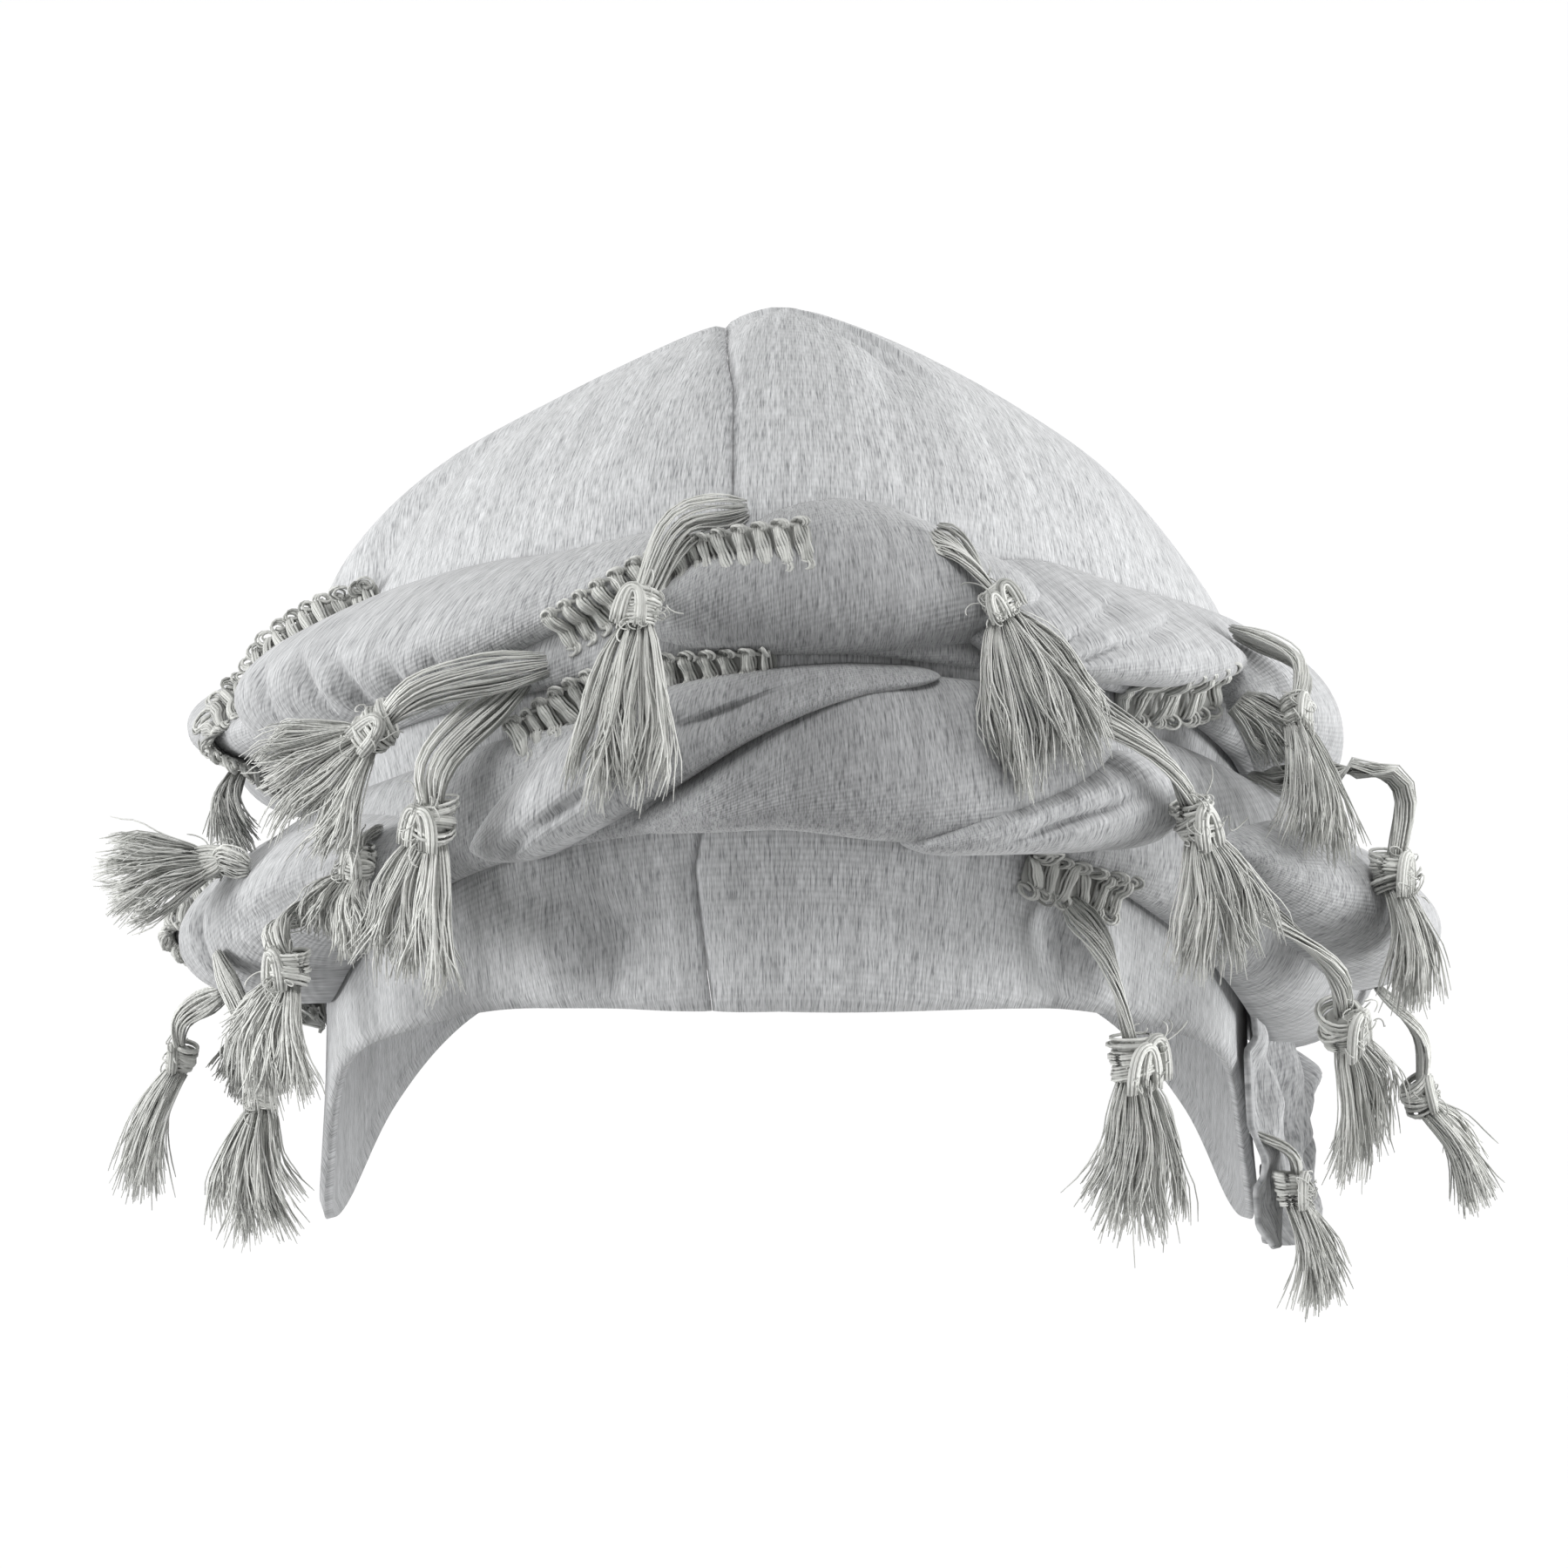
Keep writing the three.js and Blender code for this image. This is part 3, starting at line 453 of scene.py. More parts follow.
TURNS = {}  # folds of each turn under its piece's name, filled before the pieces are built


def cap_radius(at, down):
    """Distance of the cap's outside from its axis, scarf included."""
    at = turned(at)
    stand = np.zeros(np.broadcast_shapes(np.shape(at), np.shape(down)))
    for folds in TURNS.values():
        for spec in folds.values():
            stand = np.maximum(stand, fold_stand(spec, at, down))
    return crown_radius(at, down) + np.where(stand > 0, CROWN_GAP + stand, 0)


def clear_of_cap(points, stand):
    """Moves points straight out until they stand clear of the cap."""
    at, down, radius = around(points)
    return place(at, np.maximum(radius, cap_radius(at, down) + stand), down)


def clear_point(at, down, least, stand):
    """A point by its angle and depth share, standing off the crown and clear of the cap."""
    depth = np.array([down * sizes().drop])
    point = place(at, crown_radius(at, depth) + least * sizes().roll_depth, depth)
    return clear_of_cap(point, stand)[0]


def soft_noise(x, y, seed):
    """Smooth noise from -1 to 1."""
    def lattice(i, j):
        value = np.sin(i * 127.1 + j * 311.7 + seed * 74.7) * 43758.5453
        return 2 * (value - np.floor(value)) - 1

    i, j = np.floor(x), np.floor(y)
    u, v = x - i, y - j
    u, v = u * u * (3 - 2 * u), v * v * (3 - 2 * v)
    low = lattice(i, j) * (1 - u) + lattice(i + 1, j) * u
    high = lattice(i, j + 1) * (1 - u) + lattice(i + 1, j + 1) * u
    return low * (1 - v) + high * v


def creased(strokes, at, down):
    """Height that creases add at places: soft grooves and ridges between two points each."""
    total = np.zeros(np.broadcast_shapes(np.shape(at), np.shape(down)))
    if strokes is None:
        return total
    width = sizes().half_breadth * CLOTH_REACH
    x, y = np.radians(at) * width, down
    for k in range(len(strokes["at"])):
        x0, x1 = (math.radians(strokes[name][k]) * width for name in ("at", "at2"))
        y0, y1 = (strokes[name][k] * sizes().drop for name in ("down", "down2"))
        length = math.hypot(x1 - x0, y1 - y0)
        share = ((x - x0) * (x1 - x0) + (y - y0) * (y1 - y0)) / length ** 2
        share = np.clip(share, 0, 1)
        gap = np.hypot(x - x0 - share * (x1 - x0), y - y0 - share * (y1 - y0))
        taper = 0.25 + 0.75 * np.sin(np.pi * share)
        total = total + strokes["height"][k] * taper * np.exp(-(gap / strokes["width"][k]) ** 2)
    return total


# Meshes


def new_object(name, mesh):
    mesh.polygons.foreach_set("use_smooth", [True] * len(mesh.polygons))
    obj = bpy.data.objects.new(name, mesh)
    bpy.context.scene.collection.objects.link(obj)
    return obj


def grid_bmesh(columns, rows, point_of, uv_of):
    """A grid whose points and cloth coordinates follow its own shares, both from 0 to 1."""
    bm = bmesh.new()
    cloth = bm.loops.layers.uv.new("cloth")
    bmesh.ops.create_grid(bm, x_segments=columns, y_segments=rows, size=1, calc_uvs=True)
    shares = np.array([(vert.co.x, vert.co.y) for vert in bm.verts])
    shares = (shares - shares.min(0)) / (shares.max(0) - shares.min(0))
    for vert, point in zip(bm.verts, point_of(shares[:, 0], shares[:, 1])):
        vert.co = point
    bm.verts.index_update()
    flat = np.stack(uv_of(shares[:, 0], shares[:, 1]), axis=-1)
    for face in bm.faces:
        for loop in face.loops:
            loop[cloth].uv = flat[loop.vert.index]
    return bm


MERGE = 2e-6  # points of a skin that are nearer than this are one


def weld(bm):
    bmesh.ops.remove_doubles(bm, verts=bm.verts, dist=MERGE)
    bmesh.ops.recalc_face_normals(bm, faces=bm.faces)
    return bm


def face_outwards(bm, outwardness):
    """Turns an open skin so that the sum of its faces' outwardness is positive."""
    bmesh.ops.recalc_face_normals(bm, faces=bm.faces)
    bm.normal_update()
    if sum(outwardness(face) for face in bm.faces) < 0:
        bmesh.ops.reverse_faces(bm, faces=bm.faces)


def walled(obj, thickness):
    """Gives an open skin its wall, inwards from its outside."""
    wall = obj.modifiers.new("wall", "SOLIDIFY")
    wall.thickness = thickness
    wall.offset = -1
    return obj


def to_mesh(name, bmeshes):
    """One mesh of several bmeshes, which are freed."""
    whole = bmesh.new()
    for bm in bmeshes:
        part = bpy.data.meshes.new(name)
        bm.to_mesh(part)
        bm.free()
        whole.from_mesh(part)
        bpy.data.meshes.remove(part)
    mesh = bpy.data.meshes.new(name)
    whole.to_mesh(mesh)
    whole.free()
    return mesh


CORE_CELL, FOLD_CELL = 0.0022, 0.0014  # length of a mesh cell along a whole turn and along a fold
CORE_ROWS, FOLD_ROWS = 40, 50  # mesh cells round a section
FOLD_FRONT = 0.86  # share of those cells that lie on the outer side
TURN_RADIUS = 0.1  # usual radius of a turn, for the run of its ripples
RIPPLES = ((0.011, 0.022, 1), (0.005, 0.013, 0.5))  # length along and across, share of the height
RIPPLE_SLANT = 0.5  # how far a ripple runs along the turn for each metre down it
CLOTH_SLANT = 0.25  # how far the cloth winds round a section for each metre along it
SECTION_LENGTH = 3.6  # cloth round a section, as a share of its half height


def fold_bmesh(spec, seed):
    """A fold's closed skin: s runs along it, t round its section, the front first."""
    rows = spec["rows"]
    degrees = rows["at"][-1] - rows["at"][0]
    length = math.radians(degrees) * sizes().half_breadth * CLOTH_REACH
    closed = degrees > 359
    cell, cells_round = (CORE_CELL, CORE_ROWS) if closed else (FOLD_CELL, FOLD_ROWS)
    columns = int(length / cell * spec["fine"])
    mean = through(rows, "at", "tall", rows["at"].mean()) * sizes().roll_half_height

    def points(s, t):
        if not closed:
            s = 0.6 * s + 0.4 * (0.5 - 0.5 * np.cos(np.pi * s))
        at = rows["at"][0] + degrees * s
        middle, half, deep = fold_size(spec, at)
        front = np.pi * (np.minimum(t / FOLD_FRONT, 1) - 0.5)
        back = np.clip((t - FOLD_FRONT) / (1 - FOLD_FRONT), 0, 1)
        across = np.where(t > FOLD_FRONT, 1 - 2 * back, np.sin(front))
        out = np.where(t > FOLD_FRONT, 0, np.maximum(np.cos(front), 0))
        power = np.where(across < 0, spec["top"], spec["bottom"])
        down = middle + half * (across + spec["lean"] * out ** 2)
        angle = np.radians(at)
        run = (np.sin(angle) if closed else angle) * TURN_RADIUS + RIPPLE_SLANT * down
        ripple = sum(
            share * soft_noise(run / along, down / aside, seed + 3 * i)
            for i, (along, aside, share) in enumerate(RIPPLES))
        stand = deep * out ** power + out * spec["ripple"] * ripple
        stand = stand + np.sqrt(out) * creased(spec["creases"], at, down)
        return place(at, crown_radius(at, down) + CROWN_GAP + stand, down)

    def flat(s, t):
        return s * length, t * mean * SECTION_LENGTH + CLOTH_SLANT * s * length

    return weld(grid_bmesh(columns, cells_round, points, flat))


def unit(vectors):
    return vectors / np.maximum(np.linalg.norm(vectors, axis=-1, keepdims=True), 1e-12)


def directions(paths):
    """Along, across and outward directions of paths: (..., points, 3)."""
    along = unit(np.gradient(paths, axis=-2))
    across = np.cross(along, unit(paths * (1, 1, 0)))
    weak = np.linalg.norm(across, axis=-1, keepdims=True) < 0.15
    across = unit(np.where(weak, np.cross(along, (0, 0, 1)), across))
    return along, across, np.cross(across, along)


THREAD_TIP = 0.55  # width of a thread at its ends, as a share of its own
THREAD_STAND = 0.0003  # the middle of a thread off the cloth that it lies on


def thread_arrays(paths, across_radius, out_radius=None, sides=4, seed=0, shade=None):
    """Closed round threads along paths (threads, points, 3): corners, faces, caps, shade and run."""
    out_radius = across_radius if out_radius is None else out_radius
    threads, count = paths.shape[:2]
    along, across, proud = directions(paths)
    turn = 2 * np.pi * (np.arange(sides) + 0.5) / sides
    width = np.ones(count)
    width[0] = width[-1] = THREAD_TIP
    width = width[None, :, None, None]
    corners = paths[:, :, None, :] + width * (
        across_radius * np.cos(turn)[:, None] * across[:, :, None, :]
        + out_radius * np.sin(turn)[:, None] * proud[:, :, None, :])
    base = np.arange(threads * count * sides).reshape(threads, count, sides)
    quads = np.stack([
        base[:, :-1], np.roll(base, -1, 2)[:, :-1], np.roll(base, -1, 2)[:, 1:], base[:, 1:],
    ], axis=-1).reshape(-1, 4)
    caps = [tuple(row) for row in base[:, 0, ::-1]] + [tuple(row) for row in base[:, -1]]
    step = np.linalg.norm(np.diff(paths, axis=1), axis=-1)
    length = np.concatenate([np.zeros((threads, 1)), np.cumsum(step, axis=1)], axis=1)
    if shade is None:
        shade = np.random.default_rng(seed).random(threads)
    else:
        shade = np.full(threads, float(shade))
    uv = np.stack(np.broadcast_arrays(shade[:, None, None], length[:, :, None]), axis=-1)
    uv = np.broadcast_to(uv, (threads, count, sides, 2))
    return corners.reshape(-1, 3), quads, caps, uv.reshape(-1, 2)


def threads_mesh(name, bundles):
    """One mesh of several bundles of threads."""
    corners, faces, uvs, start = [], [], [], 0
    for points, quads, caps, uv in bundles:
        corners.append(points)
        faces.extend((quads + start).tolist())
        faces.extend([[int(i) + start for i in cap] for cap in caps])
        uvs.append(uv)
        start += len(points)
    mesh = bpy.data.meshes.new(name)
    mesh.from_pydata(np.concatenate(corners).tolist(), [], faces)
    index = np.zeros(len(mesh.loops), int)
    mesh.loops.foreach_get("vertex_index", index)
    layer = mesh.uv_layers.new(name="thread")
    layer.data.foreach_set("uv", np.concatenate(uvs)[index].ravel())
    mesh.update()
    bm = bmesh.new()
    bm.from_mesh(mesh)
    bmesh.ops.recalc_face_normals(bm, faces=bm.faces)
    bm.to_mesh(mesh)
    bm.free()
    return mesh


def smooth_path(points, count):
    """A smooth curve through points (points, ...), sampled evenly in its own shares."""
    points = np.asarray(points, float)
    last = len(points) - 1
    share = np.linspace(0, last, count)
    i = np.minimum(share.astype(int), last - 1)
    t = (share - i).reshape(-1, *([1] * (points.ndim - 1)))
    p1, p2 = points[i], points[i + 1]
    p0 = np.where((i > 0).reshape(t.shape), points[np.maximum(i - 1, 0)], 2 * p1 - p2)
    p3 = np.where((i < last - 1).reshape(t.shape), points[np.minimum(i + 2, last)], 2 * p2 - p1)
    return 0.5 * (
        2 * p1 + (p2 - p0) * t + (2 * p0 - 5 * p1 + 4 * p2 - p3) * t ** 2
        + (3 * p1 - p0 - 3 * p2 + p3) * t ** 3)


# Materials


def new_material(name):
    material = bpy.data.materials.new(name)
    material.use_nodes = True
    tree = material.node_tree
    return material, tree.nodes, tree.links, tree.nodes["Principled BSDF"]


def math_node(nodes, links, operation, *values):
    node = nodes.new("ShaderNodeMath")
    node.operation = operation
    for i, value in enumerate(values):
        if isinstance(value, (int, float)):
            node.inputs[i].default_value = value
        else:
            links.new(value, node.inputs[i])
    return node.outputs[0]


def streaks(nodes, links, source, scale, detail=2.0):
    """Noise stretched by a scale, from cloth or thread coordinates."""
    mapping = nodes.new("ShaderNodeMapping")
    mapping.inputs["Scale"].default_value = scale
    links.new(source, mapping.inputs["Vector"])
    noise = nodes.new("ShaderNodeTexNoise")
    noise.inputs["Scale"].default_value = 1
    noise.inputs["Detail"].default_value = detail
    links.new(mapping.outputs["Vector"], noise.inputs["Vector"])
    return noise.outputs["Fac"]


def ramp(nodes, links, value, *stops):
    node = nodes.new("ShaderNodeValToRGB")
    elements = node.color_ramp.elements
    while len(elements) < len(stops):
        elements.new(0.5)
    for element, (position, colour) in zip(elements, stops):
        element.position = position
        element.color = (*colour, 1)
    links.new(value, node.inputs["Fac"])
    return node.outputs["Color"]


def mixed(nodes, links, kind, factor, first, second):
    node = nodes.new("ShaderNodeMix")
    node.data_type = "RGBA"
    node.blend_type = kind
    for socket, value in ((node.inputs[0], factor), (node.inputs[6], first), (node.inputs[7], second)):
        if isinstance(value, (int, float)):
            socket.default_value = value
        elif isinstance(value, tuple):
            socket.default_value = (*value, 1)
        else:
            links.new(value, socket)
    return node.outputs[2]


def bump(nodes, links, shader, height, strength, distance):
    node = nodes.new("ShaderNodeBump")
    node.inputs["Strength"].default_value = strength
    node.inputs["Distance"].default_value = distance
    links.new(height, node.inputs["Height"])
    links.new(node.outputs["Normal"], shader.inputs["Normal"])


def surface(shader, roughness, specular, sheen, sheen_roughness):
    shader.inputs["Roughness"].default_value = roughness
    shader.inputs["Specular IOR Level"].default_value = specular
    shader.inputs["Sheen Weight"].default_value = sheen
    shader.inputs["Sheen Roughness"].default_value = sheen_roughness


# Streaks of each metre of cloth or thread, across it and along it.
MARL_FINE, MARL_BROAD, CLOUDS = (5200, 480, 1), (2300, 150, 1), (380, 22, 1)
THREAD_PATCHES = (37, 160, 1)
PLY_PITCH = 0.0011
FINE_SHARE = 0.66  # of the fine marl against the broad
ROW_SHARE = 0.75  # of the knitted rows against the columns
PAINTED_SHADE_MIDDLE = (0.004, -0.118, -0.056)  # middle of the painted shade over the brow, where the folds overhang
PAINTED_SHADE_REACH = 0.058
JERSEY_RELIEF, THREAD_RELIEF = 0.00014, 0.00008  # height of the knit and of a thread's ply
RELIEF_SHARE = 0.3  # strength at which both show


def jersey_material(name, shade_tint=1.0, painted_shade_tone=1.0):
    """Heather jersey: marl streaks along the wales, knitted rows across them.

    Its whole colour can be darkened by a tint, as painted shade for the scarf's folds, and darker still
    round a point over the brow, as painted shade under the overhanging folds.
    """
    if name in bpy.data.materials:
        return bpy.data.materials[name]
    material, nodes, links, shader = new_material(name)
    cloth = nodes.new("ShaderNodeUVMap")
    cloth.uv_map = "cloth"
    source = cloth.outputs["UV"]
    fine = streaks(nodes, links, source, MARL_FINE, 3)
    broad = streaks(nodes, links, source, MARL_BROAD)
    cloudy = streaks(nodes, links, source, CLOUDS)
    marl = math_node(nodes, links, "MULTIPLY_ADD", fine, FINE_SHARE, math_node(
        nodes, links, "MULTIPLY", broad, 1 - FINE_SHARE))
    # Painted shade: the tint darkens the scarf's copy of this jersey.
    light, dark = (
        tuple(shade_tint * value for value in colour) for colour in (colours().jersey, colours().marl))
    middle = tuple(0.35 * a + 0.65 * b for a, b in zip(dark, light))
    colour = ramp(nodes, links, marl, (0.36, dark), (0.5, middle), (0.64, light))
    tone = ramp(nodes, links, cloudy, (0.35, (0.86, 0.86, 0.86)), (0.6, (1.0, 1.0, 1.0)))
    colour = mixed(nodes, links, "MULTIPLY", 1.0, colour, tone)
    split = nodes.new("ShaderNodeSeparateXYZ")
    links.new(source, split.inputs[0])
    rows = math_node(nodes, links, "SINE", math_node(
        nodes, links, "MULTIPLY", split.outputs["Y"], 2 * math.pi / sizes().course_pitch))
    wales = math_node(nodes, links, "SINE", math_node(
        nodes, links, "MULTIPLY", split.outputs["X"], 2 * math.pi / sizes().wale_pitch))
    knit = math_node(nodes, links, "MULTIPLY_ADD", rows, ROW_SHARE, math_node(
        nodes, links, "MULTIPLY", wales, 1 - ROW_SHARE))
    shade = math_node(nodes, links, "MULTIPLY_ADD", knit, 0.02, 0.98)
    colour = mixed(nodes, links, "MULTIPLY", 1.0, colour, shade)
    if painted_shade_tone < 1:
        # Painted shade round a point over the brow, fading out by its reach
        reach = nodes.new("ShaderNodeVectorMath")
        reach.operation = "DISTANCE"
        reach.inputs[1].default_value = PAINTED_SHADE_MIDDLE
        links.new(nodes.new("ShaderNodeTexCoord").outputs["Object"], reach.inputs[0])
        share = math_node(nodes, links, "DIVIDE", reach.outputs["Value"], PAINTED_SHADE_REACH)
        painted_shade = ramp(nodes, links, share, (0.35, (painted_shade_tone,) * 3), (1.0, (1.0, 1.0, 1.0)))
        colour = mixed(nodes, links, "MULTIPLY", 1.0, colour, painted_shade)
    links.new(colour, shader.inputs["Base Color"])
    height = math_node(nodes, links, "MULTIPLY_ADD", fine, 1.5, knit)
    bump(nodes, links, shader, height, RELIEF_SHARE, JERSEY_RELIEF)
    surface(shader, roughness=0.93, specular=0.2, sheen=0.22, sheen_roughness=0.5)
    return material


def thread_material(name, light, dark):
    """Soft silky thread: each thread has its own tone and a fine ply."""
    if name in bpy.data.materials:
        return bpy.data.materials[name]
    material, nodes, links, shader = new_material(name)
    run = nodes.new("ShaderNodeUVMap")
    run.uv_map = "thread"
    source = run.outputs["UV"]
    split = nodes.new("ShaderNodeSeparateXYZ")
    links.new(source, split.inputs[0])
    patchy = streaks(nodes, links, source, THREAD_PATCHES)
    tone = math_node(nodes, links, "MULTIPLY_ADD", split.outputs["X"], 0.5, math_node(
        nodes, links, "MULTIPLY", patchy, 0.6))
    colour = ramp(nodes, links, tone, (0.15, dark), (0.5, light), (0.95, tuple(
        min(1.0, 1.35 * value) for value in light)))
    links.new(colour, shader.inputs["Base Color"])
    ply = math_node(nodes, links, "SINE", math_node(
        nodes, links, "MULTIPLY", split.outputs["Y"], 2 * math.pi / PLY_PITCH))
    bump(nodes, links, shader, ply, RELIEF_SHARE, THREAD_RELIEF)
    surface(shader, roughness=0.48, specular=0.45, sheen=0.3, sheen_roughness=0.4)
    return material


def tassel_material():
    return thread_material("tassel thread", tuple(colours().thread), tuple(colours().thread_shade))


BRAID_TINT, BRAID_SHADE = 0.88, 0.75  # the braid's light and dark threads against the tassels'


def braid_material():
    light = tuple(BRAID_TINT * value for value in colours().thread)
    dark = tuple(BRAID_SHADE * value for value in colours().thread_shade)
    return thread_material("braid thread", light, dark)


def settle(obj, material, slot, *nodes):
    """Gives a finished piece its material and body, and hides the CAD nodes that it stands for; slot is
    not used.
    """
    obj.data.materials.clear()
    obj.data.materials.append(material)
    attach(obj, "root")
    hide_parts(*nodes)
    return obj


# Crown


FAN_BACK = 0.09  # how far behind the apex the wales meet
FAN_RADIUS = 0.17  # distance from there at which the wales have their own pitch
CROWN_COLUMNS, CROWN_ROWS = 264, 80
SEAM_WANDER = table("down aside", [(0, 0), (0.1, 0.0018), (0.5, 0.002), (0.8, -0.005), (1, -0.002)])
SEAM_REACH = 0.03  # how far from the seam the cloth follows its wander
SEAM_GROOVES = ((0.001, 0.001), (0.004, 0.0005))  # width and depth
PUCKER_REACH, PUCKER_HEIGHT = 0.006, 0.00022
UNEVEN_HEIGHT = 0.0007
RIM_ROUND, RIM_TURN = 0.0022, 0.0012  # reach and depth of the rim's rounding


def crown_flat(at, down):
    """Cloth coordinates of the crown: wales fan forwards from far behind the apex."""
    ring = np.sqrt((down / sizes().drop).clip(0)) * sizes().drop * 0.45 + down * 0.62
    angle = np.radians(at)
    x, y = ring * np.sin(angle), ring * np.abs(np.cos(angle)) + FAN_BACK
    return np.arctan2(x, y) * FAN_RADIUS, np.hypot(x, y)


def seam_wander(at, down, radius, edge):
    """Angles of points, moved aside where the seam wanders from its plane in front."""
    share = down / sizes().drop
    aside = np.interp(share, SEAM_WANDER["down"], SEAM_WANDER["aside"])
    fall = np.exp(-(edge / SEAM_REACH) ** 2) * (np.abs(at) < 90) * np.clip(share / 0.1, 0, 1)
    return at + np.degrees(aside * fall / np.maximum(radius, 0.02))


def crown_relief(at, down, edge):
    """Height of the crown's dents and swells, seam, puckers and rounded rim at places."""
    relief = creased(CROWN_DENTS, at, down)
    for width, depth in SEAM_GROOVES:
        relief = relief - depth * np.exp(-(edge / width) ** 2)
    pucker = np.sin(down / 0.0032 + 1.7 * np.sin(down / 0.011))
    relief = relief + PUCKER_HEIGHT * np.exp(-(edge / PUCKER_REACH) ** 2) * pucker
    relief = relief + UNEVEN_HEIGHT * soft_noise(np.radians(at) * 2.2, down / 0.03, 5)
    to_rim = rim_drop(at) - down
    return relief - RIM_TURN * np.clip(1 - to_rim / RIM_ROUND, 0, 1) ** 2


def crown_panel(name, side):
    """One panel: the dome on one side of the seam, with its turned edge, dents and rounded rim."""
    def points(s, t):
        at = turned(s * 360 - 180)
        down = rim_drop(at) * t ** 1.5
        return place(at, crown_radius(at, down), down)

    bm = grid_bmesh(CROWN_COLUMNS, CROWN_ROWS, points, lambda s, t: (s, t))
    bmesh.ops.remove_doubles(bm, verts=bm.verts, dist=MERGE)
    everything = bm.verts[:] + bm.edges[:] + bm.faces[:]
    bmesh.ops.bisect_plane(
        bm, geom=everything, plane_co=(SEAM_X + side * SEAM_GAP / 2, 0, 0), plane_no=(side, 0, 0),
        clear_inner=True)
    start = np.array([vert.co for vert in bm.verts])
    at, down, radius = around(start)
    edge = np.abs(start[:, 0] - SEAM_X)
    at = seam_wander(at, down, radius, edge)
    moved = place(at, radius, down)
    bm.normal_update()
    outward = np.array([vert.normal for vert in bm.verts])
    outward *= np.sign((outward * moved).sum(1) + outward[:, 2] * 0.2)[:, None]
    for vert, point in zip(bm.verts, moved + outward * crown_relief(at, down, edge)[:, None]):
        vert.co = point
    bm.verts.index_update()
    cloth = bm.loops.layers.uv.active
    u, v = crown_flat(at, down)
    for face in bm.faces:
        for loop in face.loops:
            loop[cloth].uv = (u[loop.vert.index], v[loop.vert.index])
    face_outwards(bm, lambda face: face.normal.dot(face.calc_center_median()))
    return walled(new_object(name, to_mesh(name, [bm])), sizes().wall)


class CAP_OT_crown(Operator):
    """Builds the crown's two jersey panels"""

    bl_idname = "turban_cap.crown"
    bl_label = "Crown"

    def execute(self, context):
        for name, side, flat, area in (
            ("crown_left", -1, (0.19, 0.26), 0.034), ("crown_right", 1, (0.23, 0.26), 0.043),
        ):
            panel = crown_panel(name, side)
            settle(panel, jersey_material("crown jersey"), "jersey", name.replace("crown", "crown_panel"))
        return {"FINISHED"}


# Scarf


SCARF_SHADE_TINT = 0.88  # painted shade: the scarf's copy of the crown's jersey is darker by this, for the shade in its folds
PAINTED_SHADE_TONE = 0.62  # painted shade: how much darker the scarf is painted round the middle of the brow


def scarf_material():
    return jersey_material("scarf jersey", SCARF_SHADE_TINT, PAINTED_SHADE_TONE)


class CAP_OT_scarf(Operator):
    """Builds the two wound turns of the scarf, fold by fold"""

    bl_idname = "turban_cap.scarf"
    bl_label = "Scarf"

    def execute(self, context):
        for name, folds in TURNS.items():
            skins = [fold_bmesh(spec, 11 * i + len(name)) for i, spec in enumerate(folds.values())]
            turn = new_object(name, to_mesh(name, skins))
            settle(turn, scarf_material(), "jersey", name.replace("turn", "twist"))
        return {"FINISHED"}


END_AT, END_HALF_ANGLE = 84, 11.2
END_COLUMNS, END_ROWS = 64, 60
END_WALL = 0.0012
END_TUCK = 0.006  # how far the hanging end reaches up under the lower turn
END_STAND = 0.0022  # the end's outside off the crown where no pleat lifts it
END_PLEATS = 2.5  # across the end
END_PLEAT, END_RUMPLE = 0.015, 0.0026  # how far its pleats and its rumples stand out
END_CLOTH = (0.04, 0.045)  # the end's cloth, across and down, for its streaks
END_LEAST = 0.0018  # the end's outside off the crown at the least


def end_points(s, t):
    """Places on the hanging end: s runs backwards across it, t down it."""
    low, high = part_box("scarf_end")
    at = END_AT + END_HALF_ANGLE * (2 * s - 1) * (1 - 0.25 * t)
    at = at + 1.5 * np.sin(5 * t + 4 * s) * t * s
    top = CROWN_LIFT - high.z - END_TUCK
    reach = 1 - 0.05 * np.sin(7 * s + 1) ** 2 - 0.16 * s ** 3 + 0.03 * np.sin(19 * s)
    down = top + t * (CROWN_LIFT - low.z - top) * reach
    wander = 0.07 * np.sin(6 * t + 3 * s) + 0.05 * soft_noise(3 * s, 3 * t, 4)
    pleat = 0.5 - 0.5 * np.cos(2 * END_PLEATS * np.pi * (s + wander) + 1.2 * t)
    pleat = pleat + 0.16 * np.sin(17 * s + 2.5 * t) * t
    stand = END_STAND + END_PLEAT * pleat * s ** 0.6 * (0.3 + 0.7 * t)
    rumple = soft_noise(4 * s + 2 * t, 6 * t - 3 * s, 8) + 0.5 * soft_noise(9 * s, 11 * t, 9)
    stand = np.maximum(stand + END_RUMPLE * rumple * np.minimum(4 * t, 1), END_LEAST)
    return place(at, crown_radius(at, down) + stand, down)


class CAP_OT_scarf_end(Operator):
    """Builds the scarf's end, which hangs from under the lower turn in soft pleats"""

    bl_idname = "turban_cap.scarf_end"
    bl_label = "Scarf end"

    def execute(self, context):
        bm = grid_bmesh(
            END_COLUMNS, END_ROWS, end_points, lambda s, t: (s * END_CLOTH[0], t * END_CLOTH[1]))
        face_outwards(bm, lambda face: face.normal.x)
        end = walled(new_object("scarf_tail", to_mesh("scarf_tail", [bm])), END_WALL)
        settle(end, scarf_material(), "jersey", "scarf_end")
        return {"FINISHED"}


# Braid

# Braid ends that fray into threads: angle and depth share of the end and of the tips, spread.
FRAYS = {
    "braid_left_upper": (-84, 0.72, -81, 0.86, 1.3),
    "braid_left_lower": (-88, 1.13, -84, 1.25, 1.0),
    "braid_right": (57, 0.57, 60, 0.66, 0.7),
}

